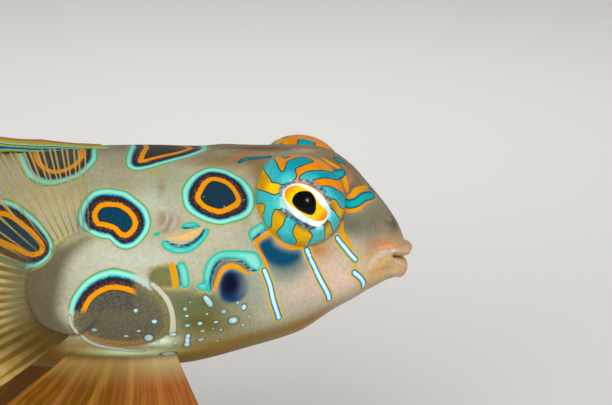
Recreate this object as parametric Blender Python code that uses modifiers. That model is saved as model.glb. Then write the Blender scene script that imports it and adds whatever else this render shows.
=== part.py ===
# Spotted mandarinfish, life size, as a still display model on a flat base with two rods.
# The fish faces +X with its right side to -Y. It is shaped in millimetres in a straight
# frame of its own, with the tip of the upper lip at the origin and the body running back
# along -X, and every piece is then bent, raised and scaled to metres by settle().
import math
from collections import namedtuple

import bmesh
import bpy
from mathutils import Matrix, Vector

# Lengths along the fish
TOTAL_LENGTH = 62.0
STANDARD_LENGTH = 48.0
AXIS_HEIGHT = 18.0
GAP = 0.3
BEND_START = 20.0
TAIL_BEND = 5.0

# Body outline: distance behind the upper lip, then height, depth or half width
BACK = [(0.5, 1.1), (0.75, 1.7), (1.43, 2.74), (2.24, 3.72), (3.13, 4.72), (4.2, 5.4),
        (5.5, 5.52), (8, 5.5), (15, 5.6), (21, 5.25), (30, 4.2), (38, 2.95), (44, 2.3), (48, 2.35)]
BELLY = [(0.5, 1.15), (1.2, 1.2), (2.26, 1.7), (3.0, 2.13), (4.1, 2.72), (5.7, 3.78), (8, 4.5),
         (11.4, 5.35), (16, 5.7), (22, 5.4), (30, 4.2), (38, 2.8), (44, 2.25), (48, 2.35)]
HALF_WIDTH = [(0.5, 1.58), (1.1, 1.85), (3.2, 3.0), (5.7, 4.1), (8, 5.0), (11.4, 5.6), (15, 5.6),
              (18, 5.3), (24, 4.4), (30, 3.4), (36, 2.5), (43, 1.5), (48, 0.95)]
WIDEST_LEVEL = [(0.5, -0.2), (5, -0.9), (12, -0.9), (30, -0.3), (48, 0)]
FULLNESS = [(0.5, 2.0), (8, 2.1), (14, 2.3), (30, 2.1), (48, 2.0)]

# Lips: distance back, height above and below the mouth line, half width
LIPS = [(0.8, 0.06, 0.06, 0.72), (0.45, 0.13, 0.13, 0.92), (0.14, 0.21, 0.21, 1.08),
        (0.0, 0.44, 0.42, 1.22), (0.03, 0.72, 0.62, 1.34), (0.18, 0.94, 0.78, 1.44),
        (0.4, 1.07, 0.87, 1.52)]
MOUTH_END = 0.95
MOUTH_LEVEL = -0.26
MOUTH_WRAP = 0.95
MOUTH_RISE = 0.35
LOWER_LIP_SETBACK = 0.22
SNOUT_ROUNDING = 5.0

AROUND = 40
STATION_STEPS = [(0.5, 2.0, 0.3), (2.4, 9.4, 0.54), (9.8, 22.0, 0.95), (22.8, 48.0, 1.5)]

# Eyes
EYE_BACK = 5.72
EYE_OUT = 2.9
EYE_UP = 3.45
EYE_RADII = (2.27, 1.75, 2.3)
GAZE_FORWARD = math.radians(8)
GAZE_UP = math.radians(12)
CORNEA_RISE = 0.12
ORBIT_DENT = 0.55
ORBIT_RIM = 0.28

# Openings of the head: back, level, radii along, across and up
NOSTRIL = (1.2, 1.9, (0.24, 0.5, 0.2))
GILL_PORE = (12.35, 2.45, (0.6, 0.7, 0.38))

# Cuts between head, trunk, tail and peduncle: back at axis level, lean
HEAD_CUT = (12.85, math.radians(10))
TRUNK_CUT = (25.0, 0.0)
TAIL_CUT = (41.6, 0.0)

# Stand
BASE_SIZE = (50.0, 30.0, 3.0)
BASE_CORNER = 5.0
BASE_EDGE = 0.5
ROD_RADIUS = 0.8
ROD_PLACES = {"stand_rod_front": 25.4, "stand_rod_rear": 45.4}

MM = 0.001
SNOUT_X = TOTAL_LENGTH / 2
Ring = namedtuple("Ring", "back top bottom width level fullness")


def smooth(table, at):
    """A smooth curve through the points of a table, level past its ends."""
    if at <= table[0][0]:
        return table[0][1]
    if at >= table[-1][0]:
        return table[-1][1]
    k = max(i for i in range(len(table) - 1) if table[i][0] <= at)
    (x0, y0), (x1, y1) = table[k], table[k + 1]

    def slope(i):
        low, high = max(i - 1, 0), min(i + 1, len(table) - 1)
        return (table[high][1] - table[low][1]) / (table[high][0] - table[low][0])

    step = x1 - x0
    t = (at - x0) / step
    start = y0 * (1 + 2 * t) + slope(k) * step * t
    end = y1 * (3 - 2 * t) + slope(k + 1) * step * (t - 1)
    return start * (1 - t) ** 2 + end * t * t


def ramp(low, high, value):
    """0 below low and 1 above high, with a smooth step between them."""
    t = min(max((value - low) / (high - low), 0), 1)
    return t * t * (3 - 2 * t)


def power(value, exponent):
    return math.copysign(abs(value) ** exponent, value)


def clear_scene():
    for old in list(bpy.data.objects):
        bpy.data.objects.remove(old, do_unlink=True)


def new_collection(name):
    made = bpy.data.collections.new(name)
    bpy.context.scene.collection.children.link(made)
    return made


def new_object(name, bm, collection):
    mesh = bpy.data.meshes.new(name)
    bm.to_mesh(mesh)
    bm.free()
    made = bpy.data.objects.new(name, mesh)
    collection.objects.link(made)
    return made


def finish_of(name, colour, roughness, metallic=0.0):
    material = bpy.data.materials.new(name)
    material.use_nodes = True
    shader = material.node_tree.nodes["Principled BSDF"]
    shader.inputs["Base Color"].default_value = (*colour, 1)
    shader.inputs["Roughness"].default_value = roughness
    shader.inputs["Metallic"].default_value = metallic
    return material


# Body

def body_ring(back, grow=0.0):
    return Ring(back, smooth(BACK, back) + grow, smooth(BELLY, back) + grow,
                smooth(HALF_WIDTH, back) + grow, smooth(WIDEST_LEVEL, back),
                smooth(FULLNESS, back))


def lip_ring(back, above, below, width):
    return Ring(back, MOUTH_LEVEL + above, below - MOUTH_LEVEL, width, MOUTH_LEVEL, 2.0)


def stations():
    found = []
    for start, stop, step in STATION_STEPS:
        count = round((stop - start) / step)
        found += [start + (stop - start) * k / count for k in range(count + 1)]
    return found


def ring_point(ring, side, up):
    """A point of a ring, where side and up are its direction round the ring."""
    reach = ring.top - ring.level if up > 0 else ring.bottom + ring.level
    y = ring.width * power(side, 2 / ring.fullness)
    z = ring.level + reach * power(up, 2 / ring.fullness)
    front = max(0, 1 - ring.back / SNOUT_ROUNDING) ** 2
    back = ring.back + MOUTH_WRAP * side * side * front
    near_lips = max(0, 1 - ring.back / 1.5)
    back += LOWER_LIP_SETBACK * near_lips * ramp(0.1, -0.6, up)
    z += MOUTH_RISE * near_lips * side * side
    return Vector((-back, y, z))


def eye_axes(sign):
    """The eye's axes as columns: along the head, out along its gaze, and up."""
    gaze = Vector((math.sin(GAZE_FORWARD) * math.cos(GAZE_UP),
                   sign * math.cos(GAZE_FORWARD) * math.cos(GAZE_UP), math.sin(GAZE_UP)))
    along = (Vector((1, 0, 0)) - gaze * gaze.x).normalized()
    upward = along.cross(gaze) * sign
    return Matrix((along, gaze, upward)).transposed()


def eye_centre(sign):
    return Vector((-EYE_BACK, sign * EYE_OUT, EYE_UP))


def round_eyes(point):
    """Sets the skin back round each eye and raises a rim at the edge of its socket."""
    moved = point.copy()
    for sign in (-1, 1):
        axes = eye_axes(sign)
        along, out, upward = axes.transposed() @ (point - eye_centre(sign))
        flat = math.hypot(along / EYE_RADII[0], upward / EYE_RADII[2])
        distance = math.hypot(flat, out / EYE_RADII[1])
        dent = ORBIT_DENT * ramp(1.75, 1.0, flat) * ramp(-1.2, -0.2, out)
        rim = ORBIT_RIM * math.exp(-((distance - 1.3) / 0.15) ** 2) * ramp(-0.9, -0.1, out)
        moved += axes.col[1] * (rim - dent)
    return moved


def body_mesh(rings, front_end, rear_end, shape=None):
    """A sphere with its poles on the fish's axis, drawn onto the given rings."""
    bm = bmesh.new()
    bands = len(rings) + 1
    bmesh.ops.create_uvsphere(bm, u_segments=AROUND, v_segments=bands, radius=1)
    for vert in bm.verts:
        band = round(math.acos(max(-1, min(1, vert.co.z))) / math.pi * bands)
        if band == 0:
            vert.co = Vector((-front_end, 0, rings[0].level))
        elif band == bands:
            vert.co = Vector((-rear_end, 0, rings[-1].level))
        else:
            across = Vector((vert.co.x, vert.co.y)).normalized()
            point = ring_point(rings[band - 1], across.x, across.y)
            vert.co = shape(point) if shape else point
    return bm


def whole_body():
    rings = [lip_ring(*row) for row in LIPS] + [body_ring(back) for back in stations()]
    return body_mesh(rings, MOUTH_END, STANDARD_LENGTH + 0.1, round_eyes)


def clearance_body():
    """The body behind the head, grown by the gap, which trims what grows from it."""
    rings = [body_ring(back, GAP) for back in stations() if back > 9]
    rings.append(body_ring(STANDARD_LENGTH + 0.25, GAP))
    return body_mesh(rings, 8.8, STANDARD_LENGTH + 0.1 + GAP)


def cut_at(bm, cut, keep_front):
    """Cuts the body across, half a gap short of the named cut, and closes the end."""
    back, lean = cut
    normal = Vector((math.cos(lean), 0, -math.sin(lean)))
    side = 1 if keep_front else -1
    point = Vector((-back, 0, 0)) + normal * side * GAP / 2
    geometry = bm.verts[:] + bm.edges[:] + bm.faces[:]
    done = bmesh.ops.bisect_plane(bm, geom=geometry, plane_co=point, plane_no=normal,
                                  clear_inner=keep_front, clear_outer=not keep_front)
    edges = [part for part in done["geom_cut"] if isinstance(part, bmesh.types.BMEdge)]
    bmesh.ops.holes_fill(bm, edges=edges, sides=0)
    bmesh.ops.recalc_face_normals(bm, faces=bm.faces)


def body_length(name, front_cut, rear_cut, collection):
    bm = whole_body()
    if front_cut:
        cut_at(bm, front_cut, keep_front=False)
    if rear_cut:
        cut_at(bm, rear_cut, keep_front=True)
    return new_object(name, bm, collection)


def ellipsoid(name, centre, radii, axes, collection, segments=24, rings=14):
    bm = bmesh.new()
    turn = Matrix.Rotation(math.pi / 2, 4, "X")
    bmesh.ops.create_uvsphere(bm, u_segments=segments, v_segments=rings, radius=1, matrix=turn)
    for vert in bm.verts:
        vert.co = centre + axes @ Vector([r * c for r, c in zip(radii, vert.co)])
    bm.normal_update()
    bmesh.ops.recalc_face_normals(bm, faces=bm.faces)
    return new_object(name, bm, collection)


def eye(name, sign, collection):
    """The eyeball, its poles on the gaze, with a low dome over the iris."""
    made = ellipsoid(name, Vector(), EYE_RADII, Matrix.Identity(3), collection)
    axes = eye_axes(sign)
    for vert in made.data.vertices:
        off = math.hypot(vert.co.x, vert.co.z)
        if vert.co.y > 0:
            vert.co.y += CORNEA_RISE * ramp(1.3, 0.4, off)
        vert.co = eye_centre(sign) + axes @ vert.co
    bm = bmesh.new()
    bm.from_mesh(made.data)
    bmesh.ops.recalc_face_normals(bm, faces=bm.faces)
    bm.to_mesh(made.data)
    bm.free()
    return made


def flank(back, level):
    """How far out the side of the body is at this level."""
    ring = body_ring(back)
    reach = ring.top - ring.level if level > ring.level else ring.bottom + ring.level
    share = min(abs(level - ring.level) / reach, 1)
    return ring.width * (1 - share ** ring.fullness) ** (1 / ring.fullness)


def head_cutters(collection):
    straight = Matrix.Identity(3)
    for sign in (-1, 1):
        side = "left" if sign > 0 else "right"
        socket = [radius + GAP for radius in EYE_RADII]
        ellipsoid("socket_" + side, eye_centre(sign), socket, eye_axes(sign), collection)
        for name, (back, level, radii) in (("nostril_", NOSTRIL), ("gill_pore_", GILL_PORE)):
            centre = Vector((-back, sign * (flank(back, level) + 0.1), level))
            ellipsoid(name + side, centre, radii, straight, collection, 12, 8)


# Fins

Fin = namedtuple("Fin", "rays rows sink thick tip_thick scallop root direction length bow")


def fin_sheet(name, fin, collection):
    """A membrane with its rays as ridges: a grid drawn out into a fan, then thickened."""
    columns = 2 * fin.rays - 2
    bm = bmesh.new()
    bmesh.ops.create_grid(bm, x_segments=columns, y_segments=fin.rows, size=1)
    weights = {}
    for vert in bm.verts:
        column = round((vert.co.x + 1) / 2 * columns)
        across = column / columns
        along = (vert.co.y + 1) / 2
        on_ray = column % 2 == 0
        length = fin.length(across) * (1 if on_ray else 1 - fin.scallop)
        reach = -fin.sink + (length + fin.sink) * along
        vert.co = fin.root(across) + fin.direction(across) * reach + fin.bow(across, along)
        thick = fin.thick + (fin.tip_thick - fin.thick) * along
        weights[vert.index] = thick * (1 if on_ray else 0.66)
    bmesh.ops.triangulate(bm, faces=bm.faces)
    made = new_object(name, bm, collection)
    group = made.vertex_groups.new(name="thickness")
    for index, weight in weights.items():
        group.add([index], weight / fin.thick, "REPLACE")
    solid = made.modifiers.new("thickness", "SOLIDIFY")
    solid.thickness = fin.thick
    solid.offset = 0
    solid.vertex_group = group.name
    solid.use_even_offset = False
    return made


def side_direction(angle, outward):
    """A direction along the flank, 90 degrees up and 180 back, that stands off the body."""
    angle = math.radians(angle)
    return Vector((math.cos(angle), 0, math.sin(angle))) * math.cos(outward), math.sin(outward)


def paired_fin(sign, rays, rows, root_line, angles, flare, lengths, thick, tip, scallop, cup):
    def root(across):
        back, level = smooth(root_line[0], across), smooth(root_line[1], across)
        return Vector((-back, sign * flank(back, level), level))

    def direction(across):
        flat, out = side_direction(smooth(angles, across), math.radians(smooth(flare, across)))
        return Vector((flat.x, sign * out, flat.z))

    def bow(across, along):
        return Vector((0, sign * cup * math.sin(math.pi * max(along, 0)), 0))

    return Fin(rays, rows, 0.9, thick, tip, scallop, root, direction,
               lambda across: smooth(lengths, across), bow)


def middle_fin(rays, rows, edge, backs, leans, lengths, thick, tip, scallop, wave):
    """A fin on the midline: edge gives the level of the body under each root."""
    def root(across):
        back = smooth(backs, across)
        return Vector((-back, 0, edge(back)))

    def direction(across):
        lean = math.radians(smooth(leans, across))
        return Vector((-math.sin(lean), 0, math.copysign(math.cos(lean), edge(30))))

    def bow(across, along):
        return Vector((0, wave * math.sin(2.4 * across + 0.4) * max(along, 0) ** 2, 0))

    return Fin(rays, rows, 0.8, thick, tip, scallop, root, direction,
               lambda across: smooth(lengths, across), bow)


def pectoral_fin(sign):
    """The right fin is spread wide and the left one is held back along the flank."""
    root_line = ([(0, 16.3), (0.22, 17.7), (0.5, 19.3), (0.7, 19.7), (0.85, 19.3), (1, 17.4)],
                 [(0, 2.5), (0.22, 1.9), (0.5, 0.6), (0.7, -1.0), (0.85, -2.2), (1, -3.0)])
    spread = [(0, 90), (0.22, 113), (0.35, 126), (0.5, 150), (0.65, 170), (0.8, 190), (1, 212)]
    held = [(0, 168), (0.3, 173), (0.6, 180), (1, 196)]
    angles = spread if sign < 0 else held
    flare = [(0, 12), (0.5, 24), (1, 30)]
    lengths = [(0, 4.3), (0.1, 4.9), (0.22, 5.6), (0.4, 7.8), (0.55, 9.6), (0.75, 10.2), (1, 5.8)]
    return paired_fin(sign, 16, 8, root_line, angles, flare, lengths, 0.8, 0.4, 0.06, 0.5)


def pelvic_fin(sign):
    """The left fin is swept back a little more than the right one."""
    root_line = ([(0, 12.1), (1, 17.3)], [(0, -3.9), (1, -4.15)])
    spread = [(0, 300), (0.35, 270), (0.7, 240), (1, 214)]
    held = [(0, 266), (0.35, 250), (0.7, 236), (1, 217)]
    angles = spread if sign < 0 else held
    flare = [(0, 38), (0.5, 34), (1, 22)]
    lengths = [(0, 8.6), (0.3, 10.6), (0.7, 10.6), (1, 8.8)]
    return paired_fin(sign, 6, 8, root_line, angles, flare, lengths, 0.9, 0.45, 0.1, 0.4)


def first_dorsal_fin():
    """Four spines laid back along the midline, so their roots start well under the skin."""
    return middle_fin(4, 5, lambda back: smooth(BACK, back) - 0.5, [(0, 14.4), (1, 22.0)],
                      [(0, 66), (1, 58)], [(0, 1.7), (0.5, 2.6), (1, 4.2)], 0.9, 0.5, 0.08, 0)


def second_dorsal_fin():
    return middle_fin(8, 7, lambda back: smooth(BACK, back), [(0, 26.2), (1, 38.4)],
                      [(0, 18), (0.5, 34), (1, 52)],
                      [(0, 5.6), (0.25, 7.4), (0.7, 7.2), (1, 5.6)], 0.8, 0.4, 0.07, 0.8)


def anal_fin():
    return middle_fin(7, 6, lambda back: -smooth(BELLY, back), [(0, 29.5), (1, 38.9)],
                      [(0, 22), (0.5, 36), (1, 50)],
                      [(0, 3.6), (0.3, 4.9), (0.7, 5.0), (1, 4.2)], 0.8, 0.4, 0.08, 0.5)


def caudal_fin():
    half_root, half_spread = 1.95, 24

    def root(across):
        return Vector((-STANDARD_LENGTH, 0, half_root * (1 - 2 * across)))

    def direction(across):
        angle = math.radians(half_spread) * (1 - 2 * across)
        return Vector((-math.cos(angle), 0, math.sin(angle)))

    def length(across):
        return (TOTAL_LENGTH - STANDARD_LENGTH) * (1 - 0.14 * abs(1 - 2 * across) ** 2.4)

    def bow(across, along):
        return Vector((0, 0.5 * math.sin(math.pi * across) * max(along, 0) ** 2, 0))

    return Fin(10, 9, 0.9, 0.85, 0.4, 0.035, root, direction, length, bow)


# Joining and placing

def cut_away(target, cutter):
    cut = target.modifiers.new("clearance", "BOOLEAN")
    cut.operation = "DIFFERENCE"
    cut.solver = "EXACT"
    cut.object = cutter


def cut_all(target, cutters):
    cut = target.modifiers.new("openings", "BOOLEAN")
    cut.operation = "DIFFERENCE"
    cut.solver = "EXACT"
    cut.operand_type = "COLLECTION"
    cut.collection = cutters


def islands(bm):
    waiting = set(bm.verts)
    while waiting:
        found, edge = set(), [waiting.pop()]
        while edge:
            vert = edge.pop()
            found.add(vert)
            near = [e.other_vert(vert) for e in vert.link_edges]
            fresh = [other for other in near if other in waiting]
            waiting.difference_update(fresh)
            edge += fresh
        yield found


def settled(point):
    """From the straight frame in millimetres to the model's own place in metres."""
    share = max(0, (-point.x - BEND_START) / (TOTAL_LENGTH - BEND_START))
    return Vector((SNOUT_X + point.x, point.y + TAIL_BEND * share ** 2,
                   AXIS_HEIGHT + point.z)) * MM


def apply_shape(made):
    """Applies the modifiers and keeps the largest closed surface."""
    graph = bpy.context.evaluated_depsgraph_get()
    mesh = bpy.data.meshes.new_from_object(made.evaluated_get(graph))
    made.modifiers.clear()
    made.vertex_groups.clear()
    made.data = mesh
    mesh.name = made.name
    bm = bmesh.new()
    bm.from_mesh(mesh)
    bmesh.ops.remove_doubles(bm, verts=bm.verts, dist=0.0005)
    bmesh.ops.dissolve_degenerate(bm, dist=0.0005, edges=bm.edges)
    bmesh.ops.triangulate(bm, faces=bm.faces)
    largest = max(islands(bm), key=len)
    scraps = [vert for vert in bm.verts if vert not in largest]
    bmesh.ops.delete(bm, geom=scraps, context="VERTS")
    bm.to_mesh(mesh)
    bm.free()


def settle(made, material, smooth_angle=35):
    for vert in made.data.vertices:
        vert.co = settled(vert.co)
    dress(made, material, smooth_angle)


def dress(made, material, smooth_angle):
    made.data.materials.clear()
    made.data.materials.append(material)
    made.data.shade_smooth()
    made.data.set_sharp_from_angle(angle=math.radians(smooth_angle))


def stand_base(collection, material):
    """A flat block with round corners and a small bevel round its top."""
    length, width, height = BASE_SIZE
    bm = bmesh.new()
    bmesh.ops.create_cube(bm, size=1, matrix=Matrix.Diagonal((length, width, height, 1)))
    bmesh.ops.translate(bm, verts=bm.verts, vec=(0, 0, height / 2))
    upright = [e for e in bm.edges if abs(e.verts[0].co.z - e.verts[1].co.z) > height / 2]
    bmesh.ops.bevel(bm, geom=upright, offset=BASE_CORNER, segments=6, profile=0.5, affect="EDGES")
    top = [e for e in bm.edges if min(v.co.z for v in e.verts) > height - 0.01]
    bmesh.ops.bevel(bm, geom=top, offset=BASE_EDGE, segments=2, profile=0.5, affect="EDGES")
    bmesh.ops.scale(bm, verts=bm.verts, vec=(MM, MM, MM))
    dress(new_object("stand_base", bm, collection), material, 35)


def stand_rod(name, back, collection, material, clearance):
    """A round rod from the base up into the belly, trimmed to the gap under the skin."""
    foot = BASE_SIZE[2] + GAP - AXIS_HEIGHT
    height = -foot
    bm = bmesh.new()
    middle = Matrix.Translation((-back, 0, foot + height / 2))
    bmesh.ops.create_cone(bm, cap_ends=True, segments=20, radius1=ROD_RADIUS,
                          radius2=ROD_RADIUS, depth=height, matrix=middle)
    made = new_object(name, bm, collection)
    cut_away(made, clearance)
    apply_shape(made)
    settle(made, material)


def main():
    clear_scene()
    fish = new_collection("mandarinfish_model")
    cutters = new_collection("cutters")
    openings = new_collection("head_openings")

    skin = finish_of("mottled_skin", (0.42, 0.33, 0.22), 0.45)
    cheek = finish_of("cheek_skin", (0.55, 0.36, 0.24), 0.4)
    eyeball = finish_of("striped_eye", (0.05, 0.42, 0.45), 0.2)
    webbing = finish_of("amber_fin", (0.45, 0.26, 0.08), 0.4)
    belly_webbing = finish_of("russet_fin", (0.45, 0.16, 0.07), 0.4)
    board = finish_of("stand_board", (0.75, 0.74, 0.71), 0.6)
    steel = finish_of("stand_steel", (0.6, 0.6, 0.6), 0.3, 1.0)

    clearance = new_object("clearance", clearance_body(), cutters)
    head_cutters(openings)
    for guide in list(cutters.objects) + list(openings.objects):
        guide.hide_render = True
        guide.display_type = "WIRE"

    lengths = {"head": (None, HEAD_CUT, cheek), "trunk": (HEAD_CUT, TRUNK_CUT, skin),
               "tail_body": (TRUNK_CUT, TAIL_CUT, skin), "tail_peduncle": (TAIL_CUT, None, skin)}
    for name, (front, rear, material) in lengths.items():
        made = body_length(name, front, rear, fish)
        if name == "head":
            cut_all(made, openings)
        apply_shape(made)
        settle(made, material)

    for sign, side in ((1, "left"), (-1, "right")):
        settle(eye("eye_" + side, sign, fish), eyeball)

    fins = {"first_dorsal_fin": (first_dorsal_fin(), webbing),
            "second_dorsal_fin": (second_dorsal_fin(), webbing),
            "anal_fin": (anal_fin(), webbing), "caudal_fin": (caudal_fin(), webbing),
            "pectoral_fin_left": (pectoral_fin(1), webbing),
            "pectoral_fin_right": (pectoral_fin(-1), webbing),
            "pelvic_fin_left": (pelvic_fin(1), belly_webbing),
            "pelvic_fin_right": (pelvic_fin(-1), belly_webbing)}
    for name, (fin, material) in fins.items():
        made = fin_sheet(name, fin, fish)
        cut_away(made, clearance)
        apply_shape(made)
        settle(made, material)

    stand_base(fish, board)
    for name, back in ROD_PLACES.items():
        stand_rod(name, back, fish, steel, clearance)
    for guide in list(cutters.objects) + list(openings.objects):
        for vert in guide.data.vertices:
            vert.co = settled(vert.co)


main()
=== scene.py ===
import math
import bpy
import numpy as np
from mathutils import Matrix, Vector
from mathutils.bvhtree import BVHTree


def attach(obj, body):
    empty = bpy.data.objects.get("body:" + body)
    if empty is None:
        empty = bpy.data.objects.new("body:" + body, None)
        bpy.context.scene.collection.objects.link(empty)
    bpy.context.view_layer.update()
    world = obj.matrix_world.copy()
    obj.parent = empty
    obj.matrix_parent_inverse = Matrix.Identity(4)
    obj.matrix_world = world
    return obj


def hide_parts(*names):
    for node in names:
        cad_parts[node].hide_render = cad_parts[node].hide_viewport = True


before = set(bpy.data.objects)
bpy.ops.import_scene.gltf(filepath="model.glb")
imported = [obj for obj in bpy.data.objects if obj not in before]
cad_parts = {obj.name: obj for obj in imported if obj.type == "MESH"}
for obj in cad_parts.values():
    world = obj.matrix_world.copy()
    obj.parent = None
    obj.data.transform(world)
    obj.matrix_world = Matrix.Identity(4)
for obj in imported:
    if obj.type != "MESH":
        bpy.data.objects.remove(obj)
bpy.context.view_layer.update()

bpy.ops.object.select_all(action="DESELECT")
bpy.context.scene.view_settings.view_transform = "Standard"
mm = 0.001

# The fish is shaped in millimetres in a straight frame: upper lip at the origin, body along -X.
# settle() then bends, raises and scales it, just as the solids were.
fish = {
    "totalLength": 62.0,
    "standardLength": 48.0,
    "axisHeight": 18.0,
    "bendStart": 20.0,
    "tailBend": 5.0,
    "back": [(0.5, 1.1), (0.75, 1.7), (1.43, 2.74), (2.24, 3.72), (3.13, 4.72), (4.2, 5.4),
             (5.5, 5.52), (8, 5.5), (15, 5.6), (21, 5.25), (30, 4.2), (38, 2.95), (44, 2.3), (48, 2.35)],
    "belly": [(0.5, 1.15), (1.2, 1.2), (2.26, 1.7), (3.0, 2.13), (4.1, 2.72), (5.7, 3.78), (8, 4.5),
              (11.4, 5.35), (16, 5.7), (22, 5.4), (30, 4.2), (38, 2.8), (44, 2.25), (48, 2.35)],
    "halfWidth": [(0.5, 1.58), (1.1, 1.85), (3.2, 3.0), (5.7, 4.1), (8, 5.0), (11.4, 5.6), (15, 5.6),
                  (18, 5.3), (24, 4.4), (30, 3.4), (36, 2.5), (43, 1.5), (48, 0.95)],
    "widestLevel": [(0.5, -0.2), (5, -0.9), (12, -0.9), (30, -0.3), (48, 0)],
    "fullness": [(0.5, 2.0), (8, 2.1), (14, 2.3), (30, 2.1), (48, 2.0)],
}
mouth = {
    # distance back, height above and below the mouth line, half width
    "rings": [(0.62, 0.03, 0.03, 0.80), (0.36, 0.06, 0.06, 0.98), (0.12, 0.17, 0.17, 1.12),
              (0.0, 0.46, 0.46, 1.22), (0.04, 0.60, 0.70, 1.34), (0.18, 0.75, 0.94, 1.44),
              (0.4, 0.86, 1.08, 1.52)],
    "end": 0.75,
    "level": -0.05,
    "wrap": 0.95,
    "rise": 0.35,
    "lowerLipSetback": 0.22,
    "snoutRounding": 5.0,
}
eye = {
    "back": 5.72,
    "out": 2.9,
    "up": 3.45,
    "radii": (2.27, 1.75, 2.3),
    "gazeForward": math.radians(8),
    "gazeUp": math.radians(12),
    "corneaRise": 0.12,
    "swell": {-1: 0.125, 1: 0.03},
    "swellAt": math.radians(131),
    "swellWidth": math.radians(25),
    "orbitDent": 0.55,
    "orbitRim": 0.2,
    "around": 224,
    "rings": 150,
}
# The photograph's frame, its size at the fish and the view down on it
view = {
    "width": 612,
    "height": 405,
    "frameWidth": 31.4,
    "distance": 220.0,
    "elevation": math.radians(12),
    "centreBack": 5.44,
    "centreHeight": 2.69,
    "sensor": 36.0,
}


def smoothCurve(table, at):
    xs, ys = (np.array(column, float) for column in zip(*table))
    at = np.clip(at, xs[0], xs[-1])
    k = np.clip(np.searchsorted(xs, at, side="right") - 1, 0, len(xs) - 2)
    low = np.maximum(np.arange(len(xs)) - 1, 0)
    high = np.minimum(np.arange(len(xs)) + 1, len(xs) - 1)
    slopes = (ys[high] - ys[low]) / (xs[high] - xs[low])
    step = xs[k + 1] - xs[k]
    t = (at - xs[k]) / step
    start = ys[k] * (1 + 2 * t) + slopes[k] * step * t
    end = ys[k + 1] * (3 - 2 * t) + slopes[k + 1] * step * (t - 1)
    return start * (1 - t) ** 2 + end * t * t


def ramp(low, high, value):
    t = np.clip((value - low) / (high - low), 0, 1)
    return t * t * (3 - 2 * t)


def power(value, exponent):
    return np.sign(value) * np.abs(value) ** exponent


def settle(points):
    share = np.maximum(0, (-points[:, 0] - fish["bendStart"])
                       / (fish["totalLength"] - fish["bendStart"]))
    moved = points.copy()
    moved[:, 0] += fish["totalLength"] / 2
    moved[:, 1] += fish["tailBend"] * share ** 2
    moved[:, 2] += fish["axisHeight"]
    return moved * mm


def readPoints(piece):
    found = np.empty(len(piece.data.vertices) * 3, np.float32)
    piece.data.vertices.foreach_get("co", found)
    return found.reshape(-1, 3).astype(float)


def writePoints(piece, points):
    piece.data.vertices.foreach_set("co", points.astype(np.float32).ravel())
    piece.data.update()


def readNormals(piece):
    found = np.empty(len(piece.data.vertices) * 3, np.float32)
    piece.data.vertices.foreach_get("normal", found)
    return found.reshape(-1, 3).astype(float)


def turnNormalsOut():
    bpy.ops.object.mode_set(mode="EDIT")
    bpy.ops.mesh.select_all(action="SELECT")
    bpy.ops.mesh.normals_make_consistent(inside=False)
    bpy.ops.object.mode_set(mode="OBJECT")


def giveAttribute(piece, name, values):
    kind = "FLOAT" if values.ndim == 1 else "FLOAT_COLOR"
    made = piece.data.attributes.new(name, kind, "POINT")
    if values.ndim == 1:
        made.data.foreach_set("value", values.astype(np.float32))
    else:
        opaque = np.column_stack([values, np.ones(len(values))])
        made.data.foreach_set("color", opaque.astype(np.float32).ravel())


# Camera first, because the markings are placed by looking through it
rightward = np.array([1.0, 0.0, 0.0])
upward = np.array([0.0, math.sin(view["elevation"]), math.cos(view["elevation"])])
forward = np.array([0.0, math.cos(view["elevation"]), -math.sin(view["elevation"])])
aim = np.array([-view["centreBack"], 0.0, 0.0]) + upward * view["centreHeight"]
cameraPlace = aim - forward * view["distance"]
lens = view["sensor"] * view["distance"] / view["frameWidth"]


def makeCamera():
    data = bpy.data.cameras.new("photoCamera")
    data.lens = lens
    data.sensor_width = view["sensor"]
    data.clip_start = 0.005
    data.clip_end = 5
    camera = bpy.data.objects.new("photoCamera", data)
    bpy.context.scene.collection.objects.link(camera)
    turn = Matrix((rightward, upward, -forward)).transposed().to_4x4()
    place = Vector(settle(cameraPlace[None])[0])
    camera.matrix_world = Matrix.Translation(place) @ turn
    bpy.context.scene.camera = camera


def rayThrough(x, y):
    across = (x - view["width"] / 2) / view["width"] * view["sensor"]
    above = -(y - view["height"] / 2) / view["width"] * view["sensor"]
    way = forward * lens + rightward * across + upward * above
    return way / np.linalg.norm(way)


class Surface:
    # Finds where a pixel of the photograph meets a piece, in the straight frame

    def __init__(self, piece):
        points = readPoints(piece)
        faces = [tuple(face.vertices) for face in piece.data.polygons]
        self.tree = BVHTree.FromPolygons(points.tolist(), faces)

    def under(self, x, y):
        way = rayThrough(x, y)
        hit, normal, _, _ = self.tree.ray_cast(Vector(cameraPlace), Vector(way))
        if hit is None:
            # Past the outline: on over the ridge, as far as the ray passes beside it
            steps = view["distance"] + np.linspace(-8, 8, 33)
            tries = [cameraPlace + way * step for step in steps]
            found = [self.tree.find_nearest(Vector(place)) for place in tries]
            edge, _, _, miss = min(found, key=lambda place: place[3])
            return self.nearest(np.array(edge) + forward * 2.0 * miss)
        return np.array(hit), np.array(normal)

    def underAll(self, marks):
        return np.array([self.under(x, y)[0] for x, y in marks])

    def nearest(self, place):
        found, normal, _, _ = self.tree.find_nearest(Vector(place))
        return np.array(found), np.array(normal)


def roundedPath(points, closed, parts=6):
    # A smooth path through a few given points; rows may carry a width too
    points = np.asarray(points, float)
    count = len(points)
    found = []
    for k in range(count if closed else count - 1):
        if closed:
            a, b, c, d = (points[(k + j) % count] for j in (-1, 0, 1, 2))
        else:
            a, b, c, d = (points[min(max(k + j, 0), count - 1)] for j in (-1, 0, 1, 2))
        for t in np.arange(parts) / parts:
            found.append(0.5 * (2 * b + (c - a) * t + (2 * a - 5 * b + 4 * c - d) * t ** 2
                                + (3 * b - a - 3 * c + d) * t ** 3))
    if not closed:
        found.append(points[-1])
    return np.array(found)


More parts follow.
